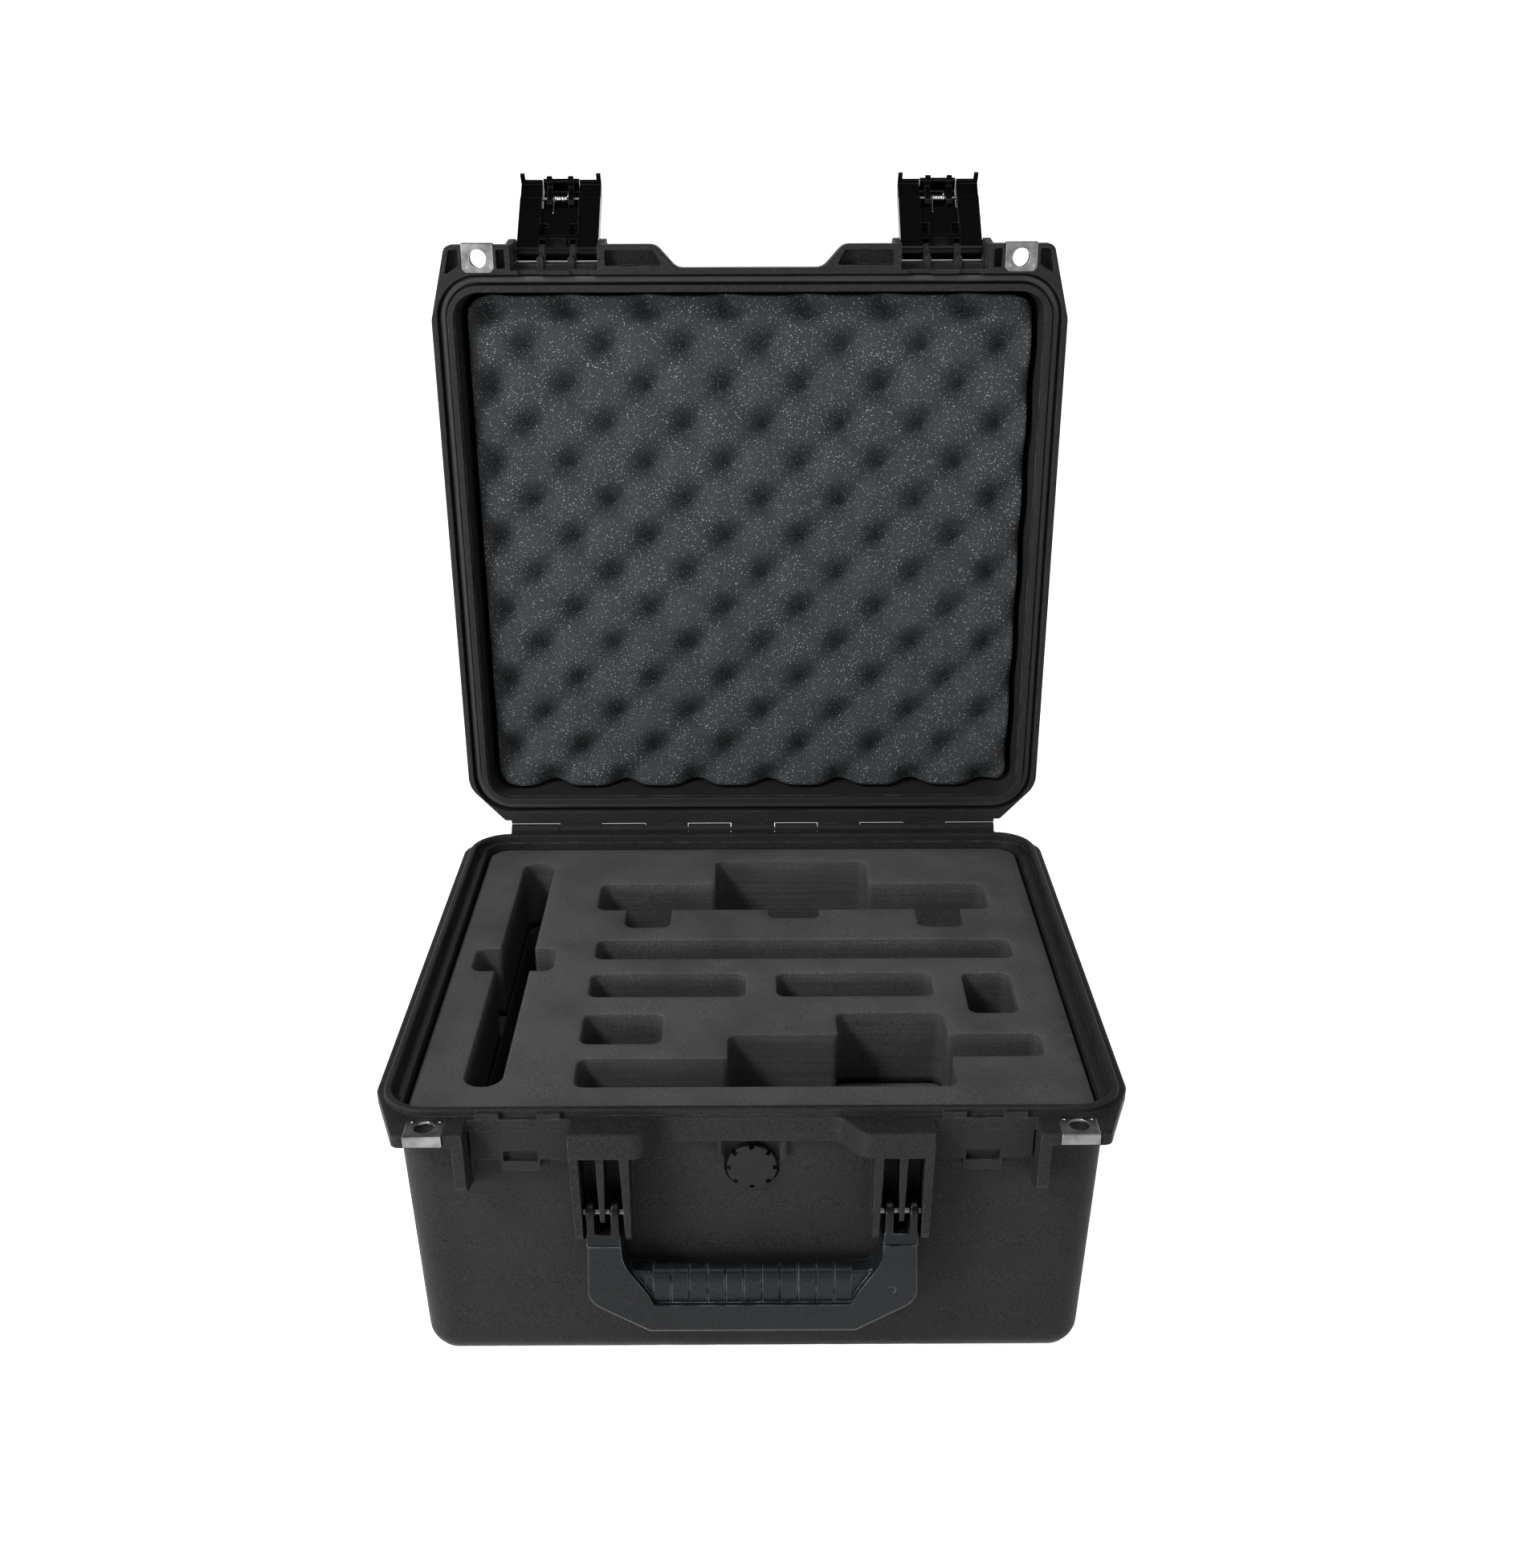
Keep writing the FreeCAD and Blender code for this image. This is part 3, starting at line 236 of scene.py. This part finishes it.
def cut_foam(name, tone):
    """Closed-cell foam: even fine cells, faint smudges, and upright walls painted darker than the top as
    shade, with level cutter lines on them.
    """
    n = Nodes(name)
    fine = n.noise(1500.0, 3.0, rough=0.7)
    cells = n.cells(1150.0)
    smudge = n.noise(26.0, 5.0)
    faint = n.noise(8.0, 2.0)
    geo = n.node("NewGeometry")
    split = n.node("SeparateXYZ")
    n.join(geo.outputs["Normal"], split.inputs[0])
    upright = n.range(n.math("ABSOLUTE", split.outputs["Z"]), 0.75, 0.3)
    lines = n.noise(520.0, 2.0, (0.02, 0.02, 1.0))
    tone_map = n.mix(n.range(fine, 0.36, 0.66), gray(tone * 0.35), gray(tone * 1.75))
    tone_map = n.mix(n.range(smudge, 0.42, 0.7, 0.0, 0.55), tone_map, gray(tone * 0.42))
    tone_map = n.mix(n.range(faint, 0.4, 0.7, 0.0, 0.2), tone_map, gray(tone * 1.35, 0.08))
    # upright walls: level cutter lines laid on an even darkening of the walls that is painted shade
    cut = n.math("MULTIPLY", upright, n.range(lines, 0.4, 0.62, 0.25, 0.55), clamp=True)
    tone_map = n.mix(cut, tone_map, gray(tone * 0.45))
    fleck = n.range(n.cells(310.0).outputs["Distance"], 0.07, 0.03, 0.0, 0.5)
    fleck = n.math("MULTIPLY", fleck, n.range(n.noise(60.0), 0.5, 0.7), clamp=True)
    tone_map = n.mix(fleck, tone_map, gray(0.2))
    normal = n.bump(cells.outputs["Distance"], 0.0004, 0.4)
    normal = n.bump(fine, 0.0004, 0.4, normal)
    normal = n.bump(n.math("MULTIPLY", lines, upright), 0.0005, 0.35, normal)
    return n.finish(tone_map, 0.95, normal, 0.25)


def egg_foam():
    """Open-cell charcoal foam with a slight blue cast, and glints off its cell walls painted into its
    colour as bright specks.
    """
    n = Nodes("egg_crate_foam")
    fine = n.noise(1300.0, 3.0, rough=0.75)
    cells = n.cells(900.0)
    patch = n.noise(30.0, 3.0)
    tone = n.mix(n.range(fine, 0.36, 0.66), gray(0.004, 0.3), gray(0.023, 0.3))
    tone = n.mix(n.range(patch, 0.35, 0.7, 0.0, 0.3), tone, gray(0.025, 0.3))
    # painted glints: bright specks laid into the base colour
    glint = n.range(n.cells(900.0).outputs["Distance"], 0.24, 0.08)
    glint = n.math("MULTIPLY", glint, n.range(n.noise(700.0, 0.0), 0.47, 0.57), clamp=True)
    spark = n.math("MULTIPLY", glint, n.range(n.noise(45.0, 2.0), 0.3, 0.7, 0.5, 1.0), clamp=True)
    tone = n.mix(spark, tone, gray(0.75, 0.05))
    normal = n.bump(cells.outputs["Distance"], 0.0009, 0.6)
    normal = n.bump(fine, 0.0006, 0.5, normal)
    return n.finish(tone, 0.9, normal, 0.3)


def rubber(name, tone):
    """Smooth seal rubber with soft patches and a faint highlight painted along its edges."""
    n = Nodes(name)
    rounded, edge = n.edge_round_and_highlight_mask(0.0004)
    fine = n.noise(1400.0, 2.0)
    patch = n.noise(40.0, 3.0)
    shade = n.mix(n.range(patch, 0.35, 0.65), gray(tone * 0.8), gray(tone * 1.3))
    # painted highlight: edges faintly paler
    shade = n.mix(n.math("MULTIPLY", edge, 0.3), shade, gray(tone * 3))
    return n.finish(shade, n.range(patch, 0.3, 0.7, 0.55, 0.7), n.bump(fine, 0.0002, 0.3, rounded), 0.4)


def membrane():
    """Pale fibrous film behind the valve's cap."""
    n = Nodes("membrane")
    fibre = n.noise(1900.0, 4.0)
    shade = n.mix(n.range(fibre, 0.3, 0.7), gray(0.55), gray(0.82))
    return n.finish(shade, 0.8, n.bump(fibre, 0.0002, 0.4), 0.3)


def make_materials():
    """The material of each slot."""
    return {
        # the edge tones given to the plastics here are the tones of painted edge highlights
        "shell": moulded_plastic("shell_plastic", dark=0.0055, light=0.009, blue=0.04, rough=0.48,
                                 grain=0.7, edge_radius=0.0008, specular=0.04, edge_highlight_tone=0.07),
        "latch": moulded_plastic("latch_plastic", dark=0.0006, light=0.0012, blue=0.1, rough=0.2,
                                 grain=0.25, edge_radius=0.0005, specular=0.1, edge_highlight_tone=0.07),
        "handle": moulded_plastic("handle_plastic", dark=0.001, light=0.0025, blue=0.35, rough=0.24,
                                  grain=0.4, edge_radius=0.0007, specular=0.12, edge_highlight_tone=0.2),
        "handle_skin": moulded_plastic("handle_skin", dark=0.0015, light=0.004, blue=0.35, rough=0.26,
                                       grain=0.6, edge_radius=0.0008, specular=0.12, edge_highlight_tone=0.18),
        "steel": steel("stainless_sheet", 0.3, 0.00006, 0.2),
        "spring_steel": steel("spring_wire", 0.18, 0.00002, 0.8),
        "gasket": rubber("seal_rubber", 0.012),
        "cut_foam": cut_foam("closed_cell_foam", 0.042),
        "egg_foam": egg_foam(),
        "valve": moulded_plastic("valve_plastic", dark=0.004, light=0.007, blue=0.05, rough=0.4,
                                 grain=0.8, edge_radius=0.0005, specular=0.06, edge_highlight_tone=0.045),
        "membrane": membrane(),
    }


MATERIALS = make_materials()


def dress(piece, slot_name):
    """Gives a piece its slot's material and no other."""
    piece.data.materials.clear()
    piece.data.materials.append(MATERIALS[slot_name])


# ---- egg-crate foam of the lid ------------------------------------------------------------------
EGG_PITCH_X = 0.0523
EGG_PITCH_Y = 0.0507
EGG_PIT = (-0.067, -0.259)      # a pit's place: x, and y from the hinge
EGG_SPACING = 0.0021
EGG_VALLEY = 0.017              # how much deeper a pit is than a peak
EGG_SHARPNESS = 2.6
EGG_UNEVEN = (0.10, 0.06)       # share by which pits differ, and over what distance
EGG_RIPPLE = (0.0009, 0.021)    # height and pitch of the soft ripple on the whole face
EGG_CORNER = 0.013
EGG_ROWS = 7                    # levels down each side
EGG_BACK_ROUND = 0.007
EGG_SIDE_UNEVEN = (0.0008, 0.02)


def shut_box(node):
    """Lowest and highest corner of a lid node with the lid shut."""
    shut = LID_TO_REST.inverted()
    points = [shut @ v.co for v in NODES[node].data.vertices]
    return [Vector(pick(p[k] for p in points) for k in range(3)) for pick in (min, max)]


def egg_height(x, y):
    """How far the crate's face lies above its peaks, lid shut."""
    hinge_y = JOINTS["lid_hinge"]["pos_m"][1]
    a = math.cos(2 * math.pi * (x - EGG_PIT[0]) / EGG_PITCH_X)
    b = math.cos(2 * math.pi * (y - hinge_y - EGG_PIT[1]) / EGG_PITCH_Y)
    share = (0.5 + 0.5 * a * b) ** EGG_SHARPNESS
    differs, over = EGG_UNEVEN
    ripple, pitch = EGG_RIPPLE
    uneven = 1 + differs * wobble(x, y, 0, over, 3.1)
    return EGG_VALLEY * share * uneven + ripple * (1 + wobble(x, y, 0, pitch, 7.7))


def egg_crate():
    """The lid's foam, drawn over a level grid with the lid shut and turned to rest at the end."""
    low, high = shut_box("lid_foam")
    middle = (low + high) / 2
    half_x = (high.x - low.x) / 2
    columns = round((high.x - low.x) / EGG_SPACING)
    rows = round((high.y - low.y) / EGG_SPACING)
    mesh_in = bmesh.new()
    grid = []
    for j in range(rows + 1):
        y = low.y + (high.y - low.y) * j / rows
        into_corner = max(0.0, EGG_CORNER - (y - low.y), EGG_CORNER - (high.y - y))
        width = half_x - EGG_CORNER + math.sqrt(max(0.0, EGG_CORNER ** 2 - into_corner ** 2))
        line = []
        for i in range(columns + 1):
            x = middle.x + width * (2 * i / columns - 1)
            line.append(mesh_in.verts.new((x, y, low.z + egg_height(x, y))))
        grid.append(line)
    for j in range(rows):
        for i in range(columns):
            mesh_in.faces.new((grid[j][i], grid[j + 1][i], grid[j + 1][i + 1], grid[j][i + 1]))
    rim = grid[0] + [line[-1] for line in grid[1:-1]] + grid[-1][::-1] + [line[0] for line in grid[-2:0:-1]]
    above = rim
    deep, over = EGG_SIDE_UNEVEN
    for step in range(1, EGG_ROWS + 1):
        share = step / EGG_ROWS
        ring = []
        for v in rim:
            out = Vector((v.co.x - middle.x, v.co.y - middle.y, 0))
            reach = EGG_BACK_ROUND if step == EGG_ROWS else deep * abs(wobble(*v.co, over))
            inward = -out.normalized() * reach
            z = v.co.z + (high.z - v.co.z) * share
            ring.append(mesh_in.verts.new((v.co.x + inward.x, v.co.y + inward.y, z)))
        count = len(rim)
        for k in range(count):
            nxt = (k + 1) % count
            mesh_in.faces.new((above[k], above[nxt], ring[nxt], ring[k]))
        above = ring
    mesh_in.faces.new(above)
    bmesh.ops.recalc_face_normals(mesh_in, faces=mesh_in.faces)
    mesh_in.transform(LID_TO_REST)
    mesh = bpy.data.meshes.new("egg_crate_foam")
    mesh_in.to_mesh(mesh)
    mesh_in.free()
    for face in mesh.polygons:
        face.use_smooth = len(face.vertices) < 5
    piece = link("egg_crate_foam", mesh)
    dress(piece, "egg_foam")
    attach(piece, "lid")
    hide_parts("lid_foam")


# ---- cut foam of the base -----------------------------------------------------------------------
FOAM_EDGE = 0.0011          # rounding of a cut edge
FOAM_STEP = 0.0035          # longest side along an outline
FOAM_GRID = 0.0052          # between points on the flat face
WALL_STEP = 0.006           # between levels down a wall
WALL_UNEVEN = (0.00028, 0.011)      # depth and pitch of the cutter's unevenness
WALL_HURRY = 2.5                    # how much faster it changes down the wall than along it
GRID_JITTER = 0.22
FACE_WAVES = (0.045, 0.012)         # pitches of the long and the short wave on a level face
SHORT_WAVE_SHARE = 0.4


def outlines_at(node, height):
    """Outlines of a node's level face, as closed lists of points with the material on their left."""
    mesh = NODES[node].data
    places = [tuple(round(c, 6) for c in v.co) for v in mesh.vertices]
    sides = set()
    for face in mesh.polygons:
        corners = [places[i] for i in face.vertices]
        if all(abs(c[2] - height) < 2e-5 for c in corners):
            if face.normal.z < 0:
                corners.reverse()
            sides.update(zip(corners, corners[1:] + corners[:1]))
    follows = {a: b for a, b in sides if (b, a) not in sides}
    loops = []
    while follows:
        start, point = follows.popitem()
        loop = [start]
        while point != start:
            loop.append(point)
            point = follows.pop(point)
        loops.append([Vector(p[:2]) for p in loop])
    return loops


def divided(loop, longest):
    """The same outline with its long sides divided."""
    out = []
    for a, b in zip(loop, loop[1:] + loop[:1]):
        parts = max(1, math.ceil((b - a).length / longest))
        out += [a.lerp(b, k / parts) for k in range(parts)]
    return out


def outward(loop):
    """Unit directions away from the material at each point of an outline."""
    out = []
    for k, point in enumerate(loop):
        before = (point - loop[k - 1]).normalized()
        after = (loop[(k + 1) % len(loop)] - point).normalized()
        along = (before + after).normalized()
        out.append(Vector((along.y, -along.x)))
    return out


class Region:
    """The inside of an outer outline less its holes, with the outlines' sides sorted into level strips."""

    STRIP = 0.004

    def __init__(self, loops):
        self.strips = {}
        for loop in loops:
            for a, b in zip(loop, loop[1:] + loop[:1]):
                first, last = sorted((a.y, b.y))
                for strip in range(math.floor(first / self.STRIP), math.floor(last / self.STRIP) + 1):
                    self.strips.setdefault(strip, []).append((a, b))

    def holds(self, point):
        crossings = 0
        for a, b in self.strips.get(math.floor(point.y / self.STRIP), ()):
            if (a.y > point.y) != (b.y > point.y):
                if point.x < a.x + (point.y - a.y) / (b.y - a.y) * (b.x - a.x):
                    crossings += 1
        return crossings % 2 == 1


def flat_face(mesh_in, rings, height, seed, wave):
    """Fills a level face between rings of vertices with even triangles, slightly uneven in height."""
    loops = [[v.co.xy for v in ring] for ring in rings]
    points = [p for loop in loops for p in loop]
    owners = [v for ring in rings for v in ring]
    edges, start = [], 0
    for loop in loops:
        edges += [(start + k, start + (k + 1) % len(loop)) for k in range(len(loop))]
        start += len(loop)
    draw = random.Random(seed)
    low = Vector((min(p.x for p in points), min(p.y for p in points)))
    high = Vector((max(p.x for p in points), max(p.y for p in points)))
    across = int((high.x - low.x) / FOAM_GRID)
    down = int((high.y - low.y) / FOAM_GRID)
    region = Region(loops)
    near = {(int((p.x - low.x) / FOAM_GRID), int((p.y - low.y) / FOAM_GRID)) for p in points}
    extra = []
    for i in range(across):
        for j in range(down):
            spot = low + Vector((i + 0.5, j + 0.5)) * FOAM_GRID
            spot += Vector((draw.uniform(-1, 1), draw.uniform(-1, 1))) * FOAM_GRID * GRID_JITTER
            if (i, j) not in near and region.holds(spot):
                extra.append(spot)
    made = geometry.delaunay_2d_cdt(points + extra, edges, [], 0, 1e-7, True)
    verts, faces, sources = made[0], made[2], made[3]
    placed = []
    long_pitch, short_pitch = FACE_WAVES
    for spot, source in zip(verts, sources):
        first = source[0] if source else -1
        if 0 <= first < len(owners):
            placed.append(owners[first])
        else:
            z = height + wave * wobble(spot.x, spot.y, 0, long_pitch, seed)
            z += wave * SHORT_WAVE_SHARE * wobble(spot.x, spot.y, 0, short_pitch, seed)
            placed.append(mesh_in.verts.new((spot.x, spot.y, z)))
    for face in faces:
        middle = sum((verts[i] for i in face), Vector((0, 0))) / len(face)
        corners = [placed[i] for i in face]
        if len(set(corners)) == 3 and region.holds(middle):
            mesh_in.faces.new(corners)


def slab(mesh_in, loops, top, bottom, seed, wave, recess):
    """A layer of foam between two heights, with softly rounded top edges and slightly uneven walls."""
    top_rings, low_rings = [], []
    deep, pitch = WALL_UNEVEN
    for loop in loops:
        loop = divided(loop, FOAM_STEP)
        away = outward(loop)
        levels = [(FOAM_EDGE * (1 - math.sin(a)), FOAM_EDGE * (1 - math.cos(a)))
                  for a in (0, math.pi / 4, math.pi / 2)]
        count = max(1, round((top - bottom - FOAM_EDGE) / WALL_STEP))
        for k in range(1, count + 1):
            levels.append((0, FOAM_EDGE + (top - bottom - FOAM_EDGE) * k / count))
        rings = []
        for inset, drop in levels:
            ring = []
            for point, out in zip(loop, away):
                z = top - drop
                uneven = 0.0
                if drop > FOAM_EDGE:
                    uneven = abs(deep * wobble(point.x, point.y, z * WALL_HURRY, pitch, seed))
                spot = point - out * (inset + uneven)
                if recess:
                    spot = recess(spot, z)
                ring.append(mesh_in.verts.new((spot.x, spot.y, z)))
            rings.append(ring)
        for upper, lower in zip(rings, rings[1:]):
            for k in range(len(upper)):
                nxt = (k + 1) % len(upper)
                mesh_in.faces.new((upper[k], lower[k], lower[nxt], upper[nxt]))
        top_rings.append(rings[0])
        low_rings.append(rings[-1])
    flat_face(mesh_in, top_rings, top, seed, wave)
    flat_face(mesh_in, low_rings, bottom, seed + 0.5, 0.0)


RECESS_HALF = 0.0205        # half width of the hollow behind the valve's nut
RECESS_SLOPE = 0.003        # over which its sides run out
RECESS_CLEAR = 0.004        # round the nut
RECESS_REACH = 0.01         # how far behind the nut a wall is still pushed back


def valve_recess(spot, z):
    """Hollow in the foam's front wall behind the valve's nut."""
    low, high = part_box("valve_nut")
    side = min(1.0, max(0.0, (RECESS_HALF - abs(spot.x)) / RECESS_SLOPE))
    within = low.z - RECESS_CLEAR < z < high.z + RECESS_CLEAR
    if within and side > 0 and spot.y < high.y + RECESS_REACH:
        spot = spot.copy()
        spot.y += (max(spot.y, high.y + RECESS_CLEAR) - spot.y) * side
    return spot


def foam_layer(node, seed, wave, recess=None):
    """One layer of the base foam, cut along the outlines of the node's upper face."""
    low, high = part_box(node)
    mesh_in = bmesh.new()
    slab(mesh_in, outlines_at(node, high.z), high.z, low.z, seed, wave, recess)
    bmesh.ops.recalc_face_normals(mesh_in, faces=mesh_in.faces)
    name = node + "_cut"
    mesh = bpy.data.meshes.new(name)
    mesh_in.to_mesh(mesh)
    mesh_in.free()
    for face in mesh.polygons:
        face.use_smooth = True
    piece = link(name, mesh)
    dress(piece, "cut_foam")
    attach(piece, "base")
    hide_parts(node)


def base_foams():
    foam_layer("base_foam_top", 1.0, 0.0004, valve_recess)
    foam_layer("base_foam_middle", 11.0, 0.0003)
    foam_layer("base_foam_bottom", 21.0, 0.0004)


# ---- wound latch springs ------------------------------------------------------------------------
SPRING_TURNS = 7
TURN_STEPS = 16
SPRING_HALF = 0.0042
COIL_R = 0.0017
WIRE_R = 0.00036
BODY_LEG = 0.0145
BUTTON_LEG = 0.0082


def spring(side):
    """Torsion spring round the button's pin, with one leg on the latch and one on the button."""
    pin = Vector(JOINTS[f"latch_{side}_button"]["pos_m"])
    low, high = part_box(f"latch_{side}_spring")
    pin.x = (low.x + high.x) / 2
    opened = -JOINTS["lid_hinge"]["range_deg"][1] - JOINTS[f"latch_{side}_pivot"]["range_deg"][1]
    turn = Matrix.Rotation(math.radians(opened), 3, "X")
    path = [Vector((-SPRING_HALF, COIL_R, BODY_LEG))]
    steps = SPRING_TURNS * TURN_STEPS + TURN_STEPS // 2
    for k in range(steps + 1):
        angle = 2 * math.pi * k / TURN_STEPS
        x = -SPRING_HALF + 2 * SPRING_HALF * k / steps
        path.append(Vector((x, COIL_R * math.cos(angle), -COIL_R * math.sin(angle))))
    path.append(Vector((SPRING_HALF, -COIL_R, -BUTTON_LEG)))
    curve = bpy.data.curves.new(f"latch_{side}_coil", "CURVE")
    curve.dimensions = "3D"
    curve.bevel_depth = WIRE_R
    curve.bevel_resolution = 3
    curve.use_fill_caps = True
    line = curve.splines.new("POLY")
    line.points.add(len(path) - 1)
    for spot, point in zip(path, line.points):
        place = pin + turn @ spot
        point.co = (place.x, place.y, place.z, 1)
    piece = link(f"latch_{side}_coil", curve)
    curve.materials.append(MATERIALS["spring_steel"])
    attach(piece, f"latch_{side}")
    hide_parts(f"latch_{side}_spring")


# ---- stage, light and camera --------------------------------------------------------------------
def area_light(name, place, target, size, power):
    """A rectangular lamp aimed at a target."""
    lamp = bpy.data.lights.new(name, "AREA")
    lamp.shape = "RECTANGLE"
    lamp.size, lamp.size_y = size
    lamp.energy = power
    holder = link(name, lamp)
    holder.location = place
    holder.rotation_euler = (Vector(target) - Vector(place)).to_track_quat("-Z", "Y").to_euler()


SWEEP_RADIUS = 7.0
SWEEP_FLAT = 6.0            # how far out it stays level
SWEEP_SIDES = 48
SWEEP_RISE = 3.6
SWEEP_DROP = 0.0004         # how far it lies below the case's underside
SWEEP_GLOW = 0.78


def floor():
    """A pale studio sweep: level under the case, curving up far away on every side."""
    n = Nodes("pale_sweep")
    shade = n.mix(n.range(n.noise(3.0), 0.3, 0.7), gray(0.80), gray(0.84))
    n.fill(n.shader.inputs["Emission Color"], (1.0, 1.0, 1.0, 1.0))
    n.fill(n.shader.inputs["Emission Strength"], SWEEP_GLOW)
    n.finish(shade, 0.9, n.bump(n.noise(300.0), 0.0001, 0.2), 0.1)
    mesh_in = bmesh.new()
    profile = [(r, 0) for r in (0.3, 0.8, 1.6, 3.0, 5.0, SWEEP_FLAT)]
    profile += [(SWEEP_FLAT + (SWEEP_RADIUS - SWEEP_FLAT) * math.sin(a), SWEEP_RISE * (1 - math.cos(a)))
                for a in (math.pi / 8, math.pi / 4, math.pi * 3 / 8, math.pi / 2)]
    middle = mesh_in.verts.new((0, 0, 0))
    turns = [2 * math.pi * k / SWEEP_SIDES for k in range(SWEEP_SIDES)]
    rings = [[mesh_in.verts.new((r * math.cos(turn), r * math.sin(turn), z)) for turn in turns]
             for r, z in profile]
    for k in range(SWEEP_SIDES):
        nxt = (k + 1) % SWEEP_SIDES
        mesh_in.faces.new((middle, rings[0][k], rings[0][nxt]))
        for inner, outer in zip(rings, rings[1:]):
            mesh_in.faces.new((inner[k], outer[k], outer[nxt], inner[nxt]))
    mesh = bpy.data.meshes.new("floor")
    mesh_in.to_mesh(mesh)
    mesh_in.free()
    piece = link("floor", mesh)
    piece.location.z = -SWEEP_DROP
    mesh.materials.append(n.material)


def world():
    """Faint, even light from all round."""
    sky = bpy.data.worlds.new("studio")
    sky.use_nodes = True
    sky.node_tree.nodes["Background"].inputs["Color"].default_value = (1, 1, 1, 1)
    sky.node_tree.nodes["Background"].inputs["Strength"].default_value = 0.1
    bpy.context.scene.world = sky


CAMERA_PLACE = Vector((0.0046, -0.9447, 0.6703))
CAMERA_PITCH = math.radians(26.84)
CAMERA_YAW = math.radians(0.19)
CAMERA_ROLL = math.radians(-0.15)
CAMERA_LENS = 39.04
CAMERA_SHIFT = 0.0888


def camera():
    """Looks down into the case from the front."""
    data = bpy.data.cameras.new("camera")
    data.lens = CAMERA_LENS
    data.sensor_width = 36.0
    data.shift_y = CAMERA_SHIFT
    holder = link("camera", data)
    forward = Vector((math.sin(CAMERA_YAW) * math.cos(CAMERA_PITCH),
                      math.cos(CAMERA_YAW) * math.cos(CAMERA_PITCH), -math.sin(CAMERA_PITCH)))
    level = Vector((math.cos(CAMERA_YAW), -math.sin(CAMERA_YAW), 0))
    upward = level.cross(forward)
    right = math.cos(CAMERA_ROLL) * level + math.sin(CAMERA_ROLL) * upward
    up = -math.sin(CAMERA_ROLL) * level + math.cos(CAMERA_ROLL) * upward
    turn = Matrix((right, up, -forward)).transposed().to_4x4()
    holder.matrix_world = Matrix.Translation(CAMERA_PLACE) @ turn
    bpy.context.scene.camera = holder


def lights():
    """A small key high on the left, a low one on the left and a wide one above the front."""
    middle = (0, 0, 0.2)
    area_light("key", (-1.25, -1.05, 1.75), middle, (0.5, 0.5), 56.0)
    area_light("front", (-1.05, -1.15, 0.25), middle, (0.5, 0.5), 17.0)
    area_light("top", (0.3, -0.9, 2.3), middle, (1.3, 0.7), 14.0)


# ---- assembly -----------------------------------------------------------------------------------
camera()
floor()
world()
lights()
for node_name, node_piece in NODES.items():
    dress(node_piece, SLOT_OF[node_name])
egg_crate()
base_foams()
for latch_side in ("left", "right"):
    spring(latch_side)

scene = bpy.context.scene
scene.view_settings.view_transform = "Standard"

bpy.context.view_layer.update()
